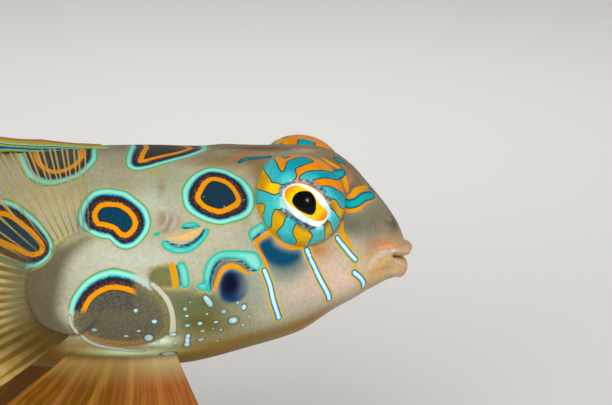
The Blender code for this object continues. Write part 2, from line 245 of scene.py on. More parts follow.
def nearestOnPath(points, path, closed=False):
    # Distance to the path, and how far along it the nearest place is
    starts = path if closed else path[:-1]
    ends = np.roll(path, -1, axis=0) if closed else path[1:]
    best = np.full(len(points), 1e9)
    along = np.zeros(len(points))
    for k, (a, b) in enumerate(zip(starts, ends)):
        step = b - a
        t = np.clip((points - a) @ step / max(step @ step, 1e-12), 0, 1)
        far = np.linalg.norm(points - a - t[:, None] * step, axis=1)
        closer = far < best
        best[closer] = far[closer]
        along[closer] = k + t[closer]
    return best, along


def insideOutline(points, outline):
    ax, ay = outline.T
    bx, by = np.roll(outline, -1, axis=0).T
    inside = np.zeros(len(points), bool)
    for x0, y0, x1, y1 in zip(ax, ay, bx, by):
        crosses = (y0 > points[:, 1]) != (y1 > points[:, 1])
        reach = (x1 - x0) * (points[:, 1] - y0) / (y1 - y0 if y1 != y0 else 1e-12) + x0
        inside ^= crosses & (points[:, 0] < reach)
    return inside


def nearSide(points):
    # Both sides wear the same markings, so the far side is looked up on the near one
    return points * [1, 0, 1] - np.abs(points[:, 1:2]) * [[0, 1, 0]]


def signedDistance(points, outline):
    far, _ = nearestOnPath(points, outline, closed=True)
    return np.where(insideOutline(points, outline), far, -far)


# Skin: points round each ring, rings over the lips, and the spacing of the rings behind them
skinGrid = {
    "around": 272,
    "lipRings": 25,
    "front": (0.5, 20.9, 0.096),
    "rear": (21.0, 48.01, 0.225),
}


def bodyRings():
    # Back, top, bottom, half width, widest level and fullness of every ring from mouth to tail
    steps = np.linspace(0, len(mouth["rings"]) - 1, skinGrid["lipRings"])
    columns = [smoothCurve(list(enumerate(column)), steps) for column in zip(*mouth["rings"])]
    lipBack, above, below, lipWidth = columns
    level = np.full(len(steps), mouth["level"])
    lips = np.array([lipBack, level + above, below - level, lipWidth, level, 0 * level + 2.0])
    backs = np.concatenate([np.arange(*skinGrid["front"]), np.arange(*skinGrid["rear"])])
    body = np.array([backs] + [smoothCurve(fish[name], backs) for name in
                               ("back", "belly", "halfWidth", "widestLevel", "fullness")])
    return np.concatenate([lips, body], axis=1)


def ringPoints(ring, side, up):
    back, top, bottom, width, level, fullness = ring
    reach = np.where(up > 0, top - level, bottom + level)
    y = width * power(side, 2 / fullness)
    z = level + reach * power(up, 2 / fullness)
    front = np.maximum(0, 1 - back / mouth["snoutRounding"]) ** 2
    nearLips = np.maximum(0, 1 - back / 1.5)
    x = back + mouth["wrap"] * side ** 2 * front
    x = x + mouth["lowerLipSetback"] * nearLips * ramp(0.1, -0.6, up)
    return np.column_stack([-x, y, z + mouth["rise"] * nearLips * side ** 2])


def eyeAxes(sign):
    forwardTurn, upTurn = eye["gazeForward"], eye["gazeUp"]
    gaze = np.array([math.sin(forwardTurn) * math.cos(upTurn),
                     sign * math.cos(forwardTurn) * math.cos(upTurn), math.sin(upTurn)])
    along = np.array([1.0, 0, 0]) - gaze * gaze[0]
    along /= np.linalg.norm(along)
    return np.column_stack([along, gaze, np.cross(along, gaze) * sign])


def eyeCentre(sign):
    return np.array([-eye["back"], sign * eye["out"], eye["up"]])


def roundEyes(points):
    moved = points.copy()
    for sign in (-1, 1):
        axes = eyeAxes(sign)
        along, out, above = ((points - eyeCentre(sign)) @ axes).T
        flat = np.hypot(along / eye["radii"][0], above / eye["radii"][2])
        distance = np.hypot(flat, out / eye["radii"][1])
        dent = eye["orbitDent"] * ramp(1.75, 1.0, flat) * ramp(-1.2, -0.2, out)
        rim = eye["orbitRim"] * np.exp(-((distance - 1.1) / 0.1) ** 2) * ramp(-0.9, -0.1, out)
        moved += np.outer(rim - dent, axes[:, 1])
    return moved


def makeSkin():
    rings = bodyRings()
    bands = rings.shape[1] + 1
    bpy.ops.mesh.primitive_uv_sphere_add(segments=skinGrid["around"], ring_count=bands, radius=1)
    skin = bpy.context.active_object
    skin.name = skin.data.name = "mandarinSkin"
    ball = readPoints(skin)
    band = np.rint(np.arccos(np.clip(ball[:, 2], -1, 1)) / math.pi * bands).astype(int)
    across = np.hypot(ball[:, 0], ball[:, 1])
    across[across < 1e-9] = 1
    side, up = ball[:, 0] / across, ball[:, 1] / across
    picked = np.clip(band - 1, 0, rings.shape[1] - 1)
    points = ringPoints(rings[:, picked], side, up)
    points[band == 0] = (-mouth["end"], 0, mouth["level"])
    points[band == bands] = (-fish["standardLength"] - 0.1, 0, 0)
    writePoints(skin, roundEyes(points))
    return skin, band - 1


makeCamera()
skin, skinRing = makeSkin()
skinSurface = Surface(skin)
print("skin shaped:", len(skin.data.vertices), "points")

# Folds and openings of the head, in pixels of the photograph with their size in millimetres
folds = {
    "mouthCorner": {"path": [(393, 256), (388, 257.5), (383, 260.5)], "width": 0.12, "depth": 0.1},
    "innerLip": {"path": [(395, 260.5), (401, 262.4), (407, 264.6)], "width": 0.1, "depth": 0.06},
    "crown": {
        "path": [(228, 151), (252, 150.5), (280, 150.5), (305, 150.5)], "width": 1.2, "depth": -0.2},
    "lipFold": {
        "path": [(403, 240.5), (394, 242.5), (384, 246), (374, 251)], "width": 0.22, "depth": 0.07},
    "cheekFold": {
        "path": [(391, 251), (381, 254.5), (373, 260), (368, 269)], "width": 0.2, "depth": 0.07},
    "jawFold": {"path": [(394, 269), (385, 270.5), (375, 274)], "width": 0.2, "depth": 0.06},
    "chinGroove": {"path": [(397, 279), (391, 276), (389, 271)], "width": 0.14, "depth": 0.07},
    "gillEdge": {"path": [(169, 211), (174, 218), (172, 226), (163, 231)], "width": 0.2, "depth": -0.12},
    "gillPore": {"path": [(168.5, 213), (168, 220), (164, 228)], "width": 0.24, "depth": 0.36},
    "gillCover": {"path": [(205, 243), (213, 262), (214, 285), (204, 306)], "width": 0.6, "depth": 0.05},
    "nostril": {"path": [(388, 221.3), (389.5, 221.6)], "width": 0.15, "depth": 0.2},
    "nostrilRim": {"path": [(388.5, 221.4), (389, 221.5)], "width": 0.32, "depth": -0.05},
}
# The fleshy lobe that carries the side fin: its outline in pixels, its height, half the width of
# its edge, and between which distances behind the lip it rises
finLobe = {
    "outline": [(97, 226), (94, 229), (80, 233), (67, 239), (55, 249), (42, 260), (31, 272), (27, 285),
        (28, 300), (34, 314), (48, 326), (75, 333), (96, 320), (108, 290), (108, 255)],
    "height": 0.34,
    "edge": 0.16,
    "rising": (14.6, 16.8),
}
foldReach = 6.0


def flatPlace(points, centre, normal):
    # Two directions along the skin at a place: back along the fish, and up
    along = np.array([-1.0, 0, 0]) + normal * normal[0]
    along /= np.linalg.norm(along)
    return (points - centre) @ np.column_stack([along, np.cross(normal, along)])


def outlineField(points, outline, reach=6.0):
    # Signed distance in millimetres inside an outline that is given in pixels
    corners = skinSurface.underAll(outline)
    centre, normal = skinSurface.nearest(corners.mean(0))
    near = np.linalg.norm(points - centre, axis=1) < reach
    path = roundedPath(flatPlace(corners, centre, normal), True)
    field = np.full(len(points), -9.0)
    field[near] = signedDistance(flatPlace(points[near], centre, normal), path)
    return field


def shapeFolds(skin):
    points, normals = readPoints(skin), readNormals(skin)
    mirrored = nearSide(points)
    push = np.zeros(len(points))
    for fold in folds.values():
        path = roundedPath(skinSurface.underAll(fold["path"]), False)
        reach = np.linalg.norm(mirrored - path.mean(0), axis=1) < foldReach
        far, _ = nearestOnPath(mirrored[reach], path)
        push[reach] -= fold["depth"] * np.exp(-(far / fold["width"]) ** 2)
    lobe = outlineField(mirrored, finLobe["outline"])
    rise = ramp(-finLobe["edge"], finLobe["edge"], lobe)
    rise *= ramp(*finLobe["rising"], -points[:, 0])
    push += finLobe["height"] * rise
    writePoints(skin, points + normals * push[:, None])


shapeFolds(skin)
skinSurface = Surface(skin)
print("head folds shaped")

# Eye spots: outer edge and outer edge of the orange ring, in pixels. Tone 0 is blue, 0.5 brown and
# 1 black, and a fade of 1 loses the rings towards the head and the belly.
pixelsPerMm = 20.0
eyeSpots = {
    "besideEye": {
        "tone": 0.2,
        "outer": [(182, 193), (185, 207), (193.5, 215), (209, 222), (224, 224), (242, 219), (252, 211),
            (254.5, 200), (252, 190), (244, 180), (234, 174), (222, 169), (208, 168), (193, 175),
            (185, 184)],
        "ring": [(195, 197), (199, 188), (205, 180), (213, 177), (226, 180), (236, 189), (241, 202),
            (232, 210), (220, 214), (206, 210), (198, 204)]},
    "behindGill": {
        "tone": 0.0,
        "outer": [(112, 189), (126, 192), (136, 199), (146, 208), (150.5, 220), (149, 230), (144, 238),
            (136, 246), (125.6, 249), (117, 246), (109, 239), (98, 237), (88, 232), (80, 226), (78, 217),
            (80, 208), (84, 200), (92, 192), (102, 189)],
        "ring": [(92, 216), (95, 208), (101, 203), (109, 202), (120, 203), (129, 208), (136, 216),
            (138, 225), (134, 233), (126.6, 238), (119, 236), (113, 230), (104, 227), (96, 225)]},
    "onBack": {
        "tone": 0.85,
        "outer": [(126, 163), (127, 154), (131, 146), (136, 138), (165, 130), (198, 138), (208, 148),
            (203, 152), (186, 158), (164, 164), (148, 168.5), (136, 170.5), (129, 168)],
        "ring": [(138, 162), (140, 155), (144, 148), (150, 139), (168, 135), (186, 140), (193, 148),
            (182, 152.5), (166, 156.5), (152, 160), (144, 162.5)]},
    "backRear": {
        "tone": 0.35,
        "outer": [(16, 152), (20, 164), (25, 174), (32.5, 181), (43, 185), (54.6, 185), (70, 181),
            (83, 175), (93, 165), (97, 156), (92, 144), (55, 134), (22, 142)],
        "ring": [(33, 152), (36, 162), (44, 170), (54.6, 173.5), (67, 171), (77, 165), (84, 156),
            (82, 147), (58, 140), (38, 145)]},
    "behindFin": {
        "tone": 0.1,
        "outer": [(0, 199), (10, 201), (20, 206), (32, 215), (44, 228), (52, 242), (50, 256), (38, 266),
            (22, 270), (4, 267), (-14, 258), (-30, 243), (-37, 226), (-30, 210), (-15, 201)],
        "ring": [(0, 211), (12, 214), (25, 223), (37, 234), (45, 246), (42, 254), (30, 257), (12, 249),
            (-6, 241), (-20, 232), (-22, 222), (-14, 214)]},
    "aboveBellyFin": {
        "tone": 0.5, "fade": 1.0,
        "outer": [(73, 333), (69, 322), (68.5, 311), (71, 300), (77, 290), (86, 280), (99.5, 272),
            (115, 269), (134, 273.5), (149, 281.5), (159, 291.5), (166, 302), (170, 314), (170, 327),
            (163, 336), (149, 342), (128, 345), (104, 342), (88, 336)],
        "ring": [(79, 327), (80, 314), (84, 304), (90, 295.5), (100, 288.5), (113, 284.5), (127, 286.5),
            (142, 293), (155, 303), (163, 316), (162, 328), (150, 336), (124, 341), (98, 337)]},
}
# Eye spots that the photograph doesn't show: distance back, level, radii along and up, tone.
# Their rings are as much smaller as ringShare says.
ringShare = 0.56
spotReach = 4.8
hiddenSpots = {
    "lowRear": (24.0, -2.0, 1.9, 1.3, 0.4),
    "backFar": (25.0, 3.9, 1.6, 1.0, 0.7),
    "midRear": (27.2, 0.9, 2.0, 1.35, 0.0),
    "backMiddle": (29.8, 3.3, 1.6, 0.9, 0.6),
    "lowMiddle": (30.2, -1.9, 1.7, 1.1, 0.2),
    "midTail": (33.4, 0.7, 1.8, 1.15, 0.0),
    "backTail": (36.4, 2.5, 1.2, 0.7, 0.5),
    "lowTail": (36.4, -1.5, 1.35, 0.8, 0.2),
    "peduncleFront": (40.0, 0.4, 1.55, 0.95, 0.0),
    "peduncleRear": (44.6, 0.0, 1.4, 1.0, 0.1),
}
# Pale green shapes of the flank, as outlines in pixels
mintShapes = {
    "gillDash": [(180.5, 226.5), (184, 223.3), (193.5, 221.8), (199.3, 224.4), (200, 226.8), (190, 227.8),
        (182.5, 228.6)],
    "gillCrescent": [(161, 242), (163, 247.5), (169, 251.5), (178, 253.8), (190, 252), (202, 243.5),
        (209, 233), (208.5, 228.3), (205, 228.6), (201, 236), (195, 242), (186, 246.5), (175, 246.3),
        (166.5, 241)],
    "gillSpeck": [(153, 234.5), (156, 232.4), (160.5, 233), (159, 235.6), (155, 236.2)],
    "finBar": [(177, 264.5), (181.5, 261.5), (186, 265), (189, 275), (189.3, 285), (186, 288.6),
        (181.8, 286.5), (179.5, 275)],
    "besideArch": [(196, 286), (200, 283), (206, 282.5), (208, 287), (206, 291), (200, 290)],
    "arch": [(208.5, 293), (205, 284), (203, 275), (205, 266), (208.6, 259.5), (214, 254), (220, 251.3),
        (232, 250.2), (248, 250.8), (256.5, 252.6), (261.8, 260.5), (262, 267.5), (257.5, 271),
        (250, 268), (243.5, 261.5), (232.5, 258.5), (221, 259), (214, 266.5), (210, 281), (211, 291)],
    "cheekPatch": [(249, 230), (255, 225.5), (262, 222), (266.5, 228), (261, 232.8), (256, 238),
        (252, 241), (248.6, 236)],
}
# Bands: points in pixels with half the band's width in pixels as the third number
tealBands = {
    "snoutStripe": [(338, 197, 3.6), (346, 203.4, 3.8), (354, 203.4, 4.0), (359.5, 200.6, 4.0),
        (363.5, 197.4, 4.0), (368.5, 196, 4.0), (372.5, 195, 3.2)],
    "foreheadSpot": [(335, 158.6, 1.4), (340, 160.6, 2.4), (344, 162.2, 1.4)],
    "stripeEnd": [(334, 174.5, 3.6), (340, 174, 4.0), (342.5, 172, 2.6)],
    "behindEye": [(239, 162.4, 0.9), (245.5, 159, 1.5), (258.5, 157.8, 1.4), (270, 156.8, 1.2)],
}
darkBands = {
    "crescentEdge": [(166.3, 240.4, 0.6), (175, 245.4, 1.3), (185.8, 245.6, 1.4), (195.5, 240.6, 1.3),
        (201, 235, 1.2), (204.4, 229.4, 0.7)],
    "dashEdge": [(181.5, 228.4, 0.5), (191, 227.6, 1.0), (199.3, 226.8, 0.6)],
    "barEdge": [(176.4, 265.6, 0.8), (178, 275, 1.3), (180, 285, 1.0)],
    "cheekEdge": [(252, 240.8, 0.6), (258, 235.4, 1.2), (267, 229.4, 0.9)],
    "archEdge": [(211.3, 290, 0.6), (210.4, 281, 1.0), (214.4, 267.6, 1.1), (221.6, 260.2, 1.1),
        (232.5, 259.6, 1.1), (243, 262.6, 1.2), (249.6, 268.6, 1.2), (257, 271.6, 0.8)],
    "foreheadLine": [(352, 186, 0.5), (371, 189, 1.2), (375, 194, 0.7)],
}
orangeBands = {
    "finBar": [(171.8, 265, 3.0), (174.5, 275, 3.4), (175.5, 285, 3.0)],
    "archLine": [(213.5, 292, 0.9), (217, 282, 1.9), (221.4, 272, 2.1), (228, 266.4, 2.2),
        (237, 266.8, 2.3), (244.5, 271.6, 2.0), (252, 273.6, 1.1)],
    "cheekLine": [(271, 232.5, 1.8), (264, 236, 2.2), (257, 241, 2.5), (256.5, 246, 2.1),
        (260, 252.5, 2.0), (264.6, 260, 2.1), (267, 268, 1.8)],
    "eyeHem": [(270, 230.4, 1.6), (276, 238, 1.8), (282, 244, 2.0), (290, 247.8, 2.0), (301, 247.4, 1.8),
        (305, 251, 1.2)],
    "aboveSnoutStripe": [(347.5, 197.5, 1.2), (352.5, 195, 2.6), (357, 190.6, 3.2), (363, 188.2, 2.6),
        (368, 187, 1.2)],
    "belowSnoutStripe": [(346.5, 210, 2.4), (354, 210.2, 2.6), (360, 207.6, 2.4), (364, 203.6, 1.3),
        (370, 201, 1.4), (376, 198, 1.0)],
    "besideEye": [(342, 222, 1.6), (341.5, 230, 2.6), (345, 237, 2.4), (349, 243, 1.7), (353, 250, 1.1)],
    "crown": [(322, 158, 1.0), (331, 163.5, 1.8), (339, 167.6, 1.4)],
    "crownEnd": [(344, 177.6, 2.6), (345.5, 184, 2.8), (347, 191, 1.6)],
    "spotTopLine": [(144.5, 139, 1.3), (147, 148, 1.3)],
}
rustBands = {
    "foreheadLoop": [(342.5, 165, 1.6), (347.5, 171, 1.8), (350.5, 177.5, 1.7), (349.6, 183, 1.2)],
    "foreheadRim": [(338.6, 150.4, 1.1), (353.6, 165, 1.4), (366.8, 179.8, 1.4), (380, 195.2, 1.4),
        (391, 209, 1.3), (398.4, 222, 1.2), (403, 232.2, 1.0)],
    "backRim": [(100, 146.6, 1.0), (150, 147, 1.2), (200, 148.6, 1.2), (226, 149.4, 0.6)],
    "behindEye": [(227, 160.2, 1.2), (236.8, 158.2, 1.6), (244.5, 155, 1.8), (258.5, 154.2, 1.8),
        (276, 153, 1.4)],
    "lowSpotLine": [(78, 328, 0.7), (86, 334.5, 1.0), (98, 339, 1.1), (123, 343, 1.2), (145, 341, 0.8)],
    "noseMottle": [(352, 196, 0.7), (358, 200, 0.9), (356, 206, 0.6)],
}
paleBands = {
    "lowSpotRidge": [(151, 283, 1.6), (154, 285.8, 2.2), (159, 290, 2.3), (165.5, 297.5, 2.3),
        (170, 306, 2.2), (172.6, 317, 2.3), (173, 328, 2.6), (172, 333, 2.9)],
    # The low spot's pale hem, widened with painted glints along the belly below it
    "lowSpotHemAndGlints": [(69.5, 316, 1.2), (71, 324, 1.4), (76, 331.4, 1.6), (84, 338, 1.7), (97, 345, 1.7),
        (115, 348.5, 1.6), (133, 350.5, 1.5), (144, 351, 1.0)],
}
lightLines = {
    "first": [(264.5, 270.6), (270, 285), (273.5, 301), (279, 318)],
    "second": [(307, 250), (312, 262), (319, 277), (328, 294), (329, 299)],
    "third": [(337.5, 238), (344.5, 247), (350, 254), (355.3, 259.5)],
    "thirdEnd": [(354.4, 272.6), (360, 277.4), (363.6, 283), (363.4, 286.5)],
}
lightLineHalfWidth = 3.1
# Pale dots: pixel, radius along and up in pixels
lightDots = [
    (205.6, 297.8, 2.6, 2.8), (207.2, 299.9, 3.2, 3.4), (208.9, 302.2, 3.2, 3.4),
    (210.6, 304.6, 2.6, 2.8), (187.4, 340.2, 2.9, 5.0), (185, 309, 2.6, 2.0), (187, 316, 2.6, 1.8),
    (200, 323.5, 3.0, 2.2), (187.7, 325.6, 3.8, 2.0), (202.6, 331, 3.2, 2.0), (216, 322, 2.6, 1.8),
    (212.8, 328.2, 1.7, 1.4), (221, 329.6, 2.4, 1.5), (219, 334, 1.5, 1.4), (223.7, 311.6, 3.2, 2.2),
    (233.3, 320.4, 5.2, 4.4), (243.9, 307.2, 2.8, 3.4), (237.7, 302.8, 1.9, 2.0), (249, 316.5, 2.2, 1.8),
    (200.9, 339.6, 3.8, 2.2), (217.5, 340.5, 2.0, 1.6), (188, 336, 2.8, 3.4), (187, 344.5, 3.2, 3.8),
    (175.4, 343, 2.4, 3.0), (243, 324.7, 2.4, 1.7), (252, 327, 1.6, 1.4), (136, 310.7, 2.7, 2.5),
    (154.4, 321.6, 3.4, 2.6), (94.2, 330, 3.4, 2.4), (138.6, 330.9, 2.8, 1.6), (126, 336, 3.4, 1.6),
    (148.8, 337.9, 4.8, 4.6), (168.4, 353.7, 7.4, 4.0), (151.8, 347.5, 1.6, 1.4), (158, 342, 2.0, 1.6),
    (173, 334.4, 4.4, 2.4), (204, 197, 1.3, 1.2), (224, 206.5, 1.2, 1.2), (244, 200, 1.4, 1.3),
    (298, 149, 1.8, 1.5), (190.4, 302, 1.6, 1.6), (207, 314, 1.5, 1.5),
]
skinTones = {
    "flank": (0.385, 0.38, 0.275),
    "underside": (0.25, 0.145, 0.012),
    # The mouth's inside: its own olive-beige, painted lighter to offset its shadow
    "insideMouthLightened": (0.50, 0.34, 0.13),
}
undersideLevels = (-2.2, -4.4)
mouthRings = (10, 7)
# Coloured areas with an outline in pixels: colour, softness of the edge in millimetres, strength
areas = {
    "olivePatch": {
        "outline": [(149, 269), (158, 265.5), (169, 264.5), (171.5, 275), (172, 286), (160, 288),
            (148, 285)],
        "colour": (0.13, 0.13, 0.03), "soft": 0.1, "strength": 0.9},
    "girdle": {
        "outline": [(146, 290), (160, 287.5), (185, 290), (205, 294), (214, 299), (208, 310), (192, 318),
            (176, 318), (166, 300)],
        "colour": (0.12, 0.13, 0.05), "soft": 0.45, "strength": 0.85},
    "archShade": {
        "outline": [(212, 290), (211, 279), (216, 267), (224, 260), (236, 260), (248, 267), (250, 273),
            (242, 271), (234, 265), (226, 265), (220, 270), (216, 282)],
        "colour": (0.17, 0.14, 0.13), "soft": 0.08, "strength": 1.0},
    "blueUnderArch": {
        "outline": [(219, 287), (222.5, 275), (230, 269.5), (238, 271.5), (245, 277), (248.5, 287),
            (244, 298), (233, 303), (222, 300)],
        "colour": (0.0, 0.035, 0.12), "soft": 0.14, "strength": 1.0},
    "greyUnderArch": {
        "outline": [(243, 276), (262, 276), (266, 292), (258, 306), (244, 300)],
        "colour": (0.26, 0.3, 0.23), "soft": 0.5, "strength": 0.6},
    "navyUnderArch": {
        "outline": [(222, 283), (226, 275), (232, 273), (238, 279), (238, 289), (230, 295), (223, 292)],
        "colour": (0.001, 0.001, 0.018), "soft": 0.25, "strength": 1.0},
    "tealUnderEye": {
        "outline": [(265, 256), (275, 252), (300, 254), (305, 264), (299, 274), (284, 280), (270, 272)],
        "colour": (0.09, 0.16, 0.14), "soft": 0.55, "strength": 0.9},
    "blueUnderEye": {
        "outline": [(258.5, 246), (262, 240), (271, 236.5), (276, 244.5), (286, 250), (299, 251),
            (301, 257), (295, 263), (283, 267), (271, 264), (264, 258)],
        "colour": (0.0, 0.06, 0.13), "soft": 0.2, "strength": 1.0},
    "gillFlap": {
        "outline": [(163, 232), (166, 219), (168.5, 213), (173, 215), (179, 218), (181.5, 223.5),
            (175, 229)],
        "colour": (0.33, 0.23, 0.15), "soft": 0.1, "strength": 0.9},
    "gillLight": {
        "outline": [(159, 231), (165, 222), (168, 213), (168.5, 219), (164, 228)],
        "colour": (0.5, 0.46, 0.4), "soft": 0.08, "strength": 0.8},
    "topBrown": {
        "outline": [(228, 152), (246, 149.5), (268, 148.5), (288, 148.5), (280, 151.5), (262, 152.5),
            (244, 153.5)],
        "colour": (0.145, 0.085, 0.042), "soft": 0.2, "strength": 0.45},
    "noseGrey": {
        "outline": [(363, 208), (382, 202.5), (391, 215), (393, 236), (384, 236), (377, 240), (366, 242),
            (354, 236), (346, 231), (346, 217)],
        "colour": (0.165, 0.15, 0.1), "soft": 0.4, "strength": 0.5},
}
# Soft bands: points in pixels with half the width, colour, softness in millimetres, strength
softBands = {
    # Painted shade on the side fin's lobe, darkest at the fin's root
    "finRootShade": ([(100, 233, 1), (85, 239, 4), (71, 248, 7), (57, 259, 13), (47, 273, 18), (42, 292, 19),
        (43, 311, 17), (55, 325, 11), (74, 334, 4)], (0.1, 0.084, 0.044), 0.5, 0.95),
    "gillPeach": ([(166, 236.5, 0.8), (172, 238.2, 2.0), (180, 238, 2.6), (188, 235.8, 3.4),
        (196, 232.5, 2.8), (201.5, 229.5, 1.0)], (0.72, 0.44, 0.14), 0.06, 1.0),
    "girdleRim": ([(146, 290, 0.6), (165, 288.6, 1.1), (190, 290.6, 1.1), (209, 296, 0.8)],
        (0.42, 0.35, 0.06), 0.07, 0.7),
    "patchRim": ([(147, 277, 0.8), (152, 268.6, 1.1), (160, 265.6, 1.1), (170, 264, 0.7)],
        (0.5, 0.42, 0.14), 0.06, 0.7),
    "snoutRidge": ([(380, 247.4, 1.4), (395, 246.4, 1.6), (409, 245.6, 1.3)], (0.74, 0.27, 0.1), 0.08,
        0.8),
    "snoutPale": ([(379, 252.2, 1.0), (394, 250.6, 1.2), (410, 250.2, 1.0)], (0.66, 0.5, 0.4), 0.05, 0.9),
    "upperLipUnder": ([(394, 254.2, 0.6), (403, 253.4, 0.9), (411, 252.6, 0.7)], (0.5, 0.24, 0.08), 0.05,
        0.7),
    "cheekPale": ([(368, 266, 2.0), (373, 259, 2.4), (379, 255.4, 2.2), (391, 253.6, 1.6)],
        (0.6, 0.44, 0.34), 0.1, 0.8),
    "cheekGold": ([(362, 258.5, 1.6), (369, 256, 2.2), (376, 252.6, 1.4)], (0.62, 0.32, 0.07), 0.12, 0.7),
    "cornerGold": ([(376, 265, 2.0), (384, 261, 3.4), (391, 259, 2.6)], (0.58, 0.34, 0.1), 0.15, 0.7),
    "chinFold": ([(368, 272.5, 0.9), (376, 269, 1.1), (386, 268, 1.0), (394, 268.6, 0.6)],
        (0.44, 0.24, 0.09), 0.08, 0.6),
    "jawFold": ([(345, 272, 0.7), (347, 265.6, 1.0), (351, 263, 0.8)], (0.44, 0.28, 0.14), 0.08, 0.5),
    "innerLip": ([(396, 258.2, 1.2), (402, 259.8, 1.6), (407, 261.6, 1.2)], (0.56, 0.38, 0.14), 0.08,
        0.8),
    "lowerLipRim": ([(392.5, 258.9, 0.7), (396, 262, 0.9), (402, 264.4, 1.0), (407.5, 267, 0.8)],
        (0.74, 0.56, 0.4), 0.05, 0.9),
    "lowerLipFold": ([(391, 262.6, 0.8), (396, 265.6, 1.0), (402, 268, 1.0), (406, 271.4, 0.8)],
        (0.6, 0.34, 0.14), 0.07, 0.7),
    "lowerLipEnd": ([(398, 276.4, 1.2), (404, 274.6, 1.8), (407, 271, 1.2)], (0.74, 0.27, 0.08), 0.1,
        0.7),
    "upperLipEnd": ([(409, 244.4, 1.0), (412.4, 247, 1.4), (412.4, 251, 1.3)], (0.8, 0.26, 0.09), 0.1,
        0.8),
}
# Soft patches: pixel, radius along and up in pixels, colour, strength. They end at patchEnd, in
# millimetres from their middle, unless they run along the whole back.
patchEnd = (9, 5)
wholeBack = 100
softPatches = {
    # Painted shade: the top of the back darker olive-brown
    "backTopShade": (170, 148, 260, 30, (0.22, 0.185, 0.085), 0.85),
    "backTan": (122, 165, 22, 13, (0.34, 0.275, 0.12), 0.75),
    "backTanLow": (122, 183, 28, 12, (0.33, 0.28, 0.155), 0.8),
    "backGold": (157, 171, 13, 8, (0.38, 0.32, 0.11), 0.8),
    "backGreen": (170, 184, 15, 17, (0.29, 0.345, 0.2), 0.8),
    "gillPale": (150, 203, 14, 14, (0.44, 0.49, 0.39), 0.6),
    "finTan": (55, 203, 38, 20, (0.54, 0.48, 0.245), 0.8),
    "finTanLow": (62, 236, 22, 13, (0.54, 0.475, 0.21), 0.8),
    "neckTan": (259, 170, 12, 14, (0.265, 0.17, 0.06), 0.85),
    "backBrown": (212, 164, 34, 8, (0.315, 0.245, 0.095), 0.75),
    "foldTan": (174, 229, 12, 6, (0.42, 0.335, 0.17), 0.7),
    "chestMint": (246, 280, 9, 22, (0.2, 0.295, 0.205), 0.7),
    "shoulderDusk": (238, 160, 50, 11, (0.2, 0.12, 0.04), 0.85),
    "foreheadDusk": (338, 164, 44, 26, (0.19, 0.115, 0.055), 0.9),
    "browDusk": (352, 188, 17, 13, (0.175, 0.105, 0.04), 0.9),
    "noseTaupe": (376, 218, 24, 19, (0.19, 0.15, 0.085), 0.95),
    "noseOlive": (352, 224, 16, 13, (0.075, 0.11, 0.085), 0.95),
    "noseEnd": (394, 224, 8, 12, (0.075, 0.04, 0.018), 0.95),
    "cheekPink": (334, 280, 50, 28, (0.57, 0.415, 0.325), 0.95),
    "cheekBrown": (318, 250, 16, 9, (0.44, 0.17, 0.02), 0.85),
    "chinBeige": (378, 272, 22, 16, (0.57, 0.355, 0.13), 0.85),
    "lipPink": (404, 260, 18, 18, (0.61, 0.335, 0.175), 0.9),
    "muzzlePink": (382, 243, 26, 7, (0.53, 0.2, 0.06), 0.8),
    "throatTan": (300, 325, 46, 14, (0.28, 0.13, 0.0), 1.0),
    "throatOlive": (232, 343, 66, 12, (0.255, 0.145, 0.004), 1.0),
    "chestGreen": (202, 306, 38, 16, (0.09, 0.13, 0.055), 0.95),
    "chestOlive": (207, 327, 42, 17, (0.155, 0.13, 0.018), 0.95),
    "flankLight": (135, 258, 44, 18, (0.485, 0.51, 0.42), 0.9),
    "shoulderLight": (228, 236, 34, 12, (0.4, 0.38, 0.29), 0.7),
    "chestShade": (199, 319, 20, 11, (0.095, 0.08, 0.012), 0.9),
    # Painted sheen: a bright green-white strip on the belly under the low eye spot, lightened against the
    # belly's shade
    "underLowSpotSheen": (130, 353, 40, 6, (0.74, 0.94, 0.58), 0.95),
    "pelvicRoot": (48, 352, 27, 11, (0.26, 0.105, 0.012), 0.9),
    # Painted shade on the body behind the side fin's root
    "pectoralRootShade": (30, 294, 9, 44, (0.25, 0.205, 0.1), 0.85),
    # Painted glints: pale green-white near the belly fin's root
    "pelvicRootGlints": (160, 341, 16, 7, (0.7, 0.92, 0.68), 0.95),
    "oliveDots": (161.7, 187, 4, 9, (0.17, 0.21, 0.16), 0.8),
    "oliveDotTop": (162.5, 183, 1.7, 1.7, (0.62, 0.2, 0.04), 1.0),
    "oliveDotLow": (161, 191, 1.7, 1.7, (0.62, 0.2, 0.04), 1.0),
    "napeBrown": (258, 148, 38, 6, (0.135, 0.062, 0.022), 1.0),
    "betweenEyes": (304, 150, 13, 4, (0.42, 0.31, 0.19), 0.85),
    "crownTeal": (288, 149.6, 5, 1.8, (0.06, 0.13, 0.13), 0.7),
    "browTeal": (358.3, 181, 4.2, 3.4, (0.09, 0.125, 0.11), 0.75),
    "nostrilPale": (388.4, 219.4, 4.0, 1.5, (0.4, 0.35, 0.24), 0.8),
    "nostrilDark": (389, 221.4, 2.8, 1.5, (0.05, 0.035, 0.01), 0.95),
}


def spotPlaces():
    # Every eye spot as its centre, normal, outer outline and ring outline there, in millimetres
    for spot in eyeSpots.values():
        outer = skinSurface.underAll(spot["outer"])
        ring = skinSurface.underAll(spot["ring"])
        centre, normal = skinSurface.nearest(ring.mean(0))
        yield (centre, normal, flatPlace(outer, centre, normal), flatPlace(ring, centre, normal),
               spot["tone"], spot.get("fade", 0.0))
    wobble = np.random.default_rng(7)
    for back, level, along, above, tone in hiddenSpots.values():
        centre, normal = skinSurface.nearest((-back, -6.0, level))
        turn = np.arange(12) / 12 * math.tau
        lumps = 1 + wobble.normal(0, 0.05, len(turn))
        outer = np.column_stack([along * np.cos(turn) * lumps, above * np.sin(turn) * lumps])
        yield centre, normal, outer, outer * ringShare, tone, 0.0


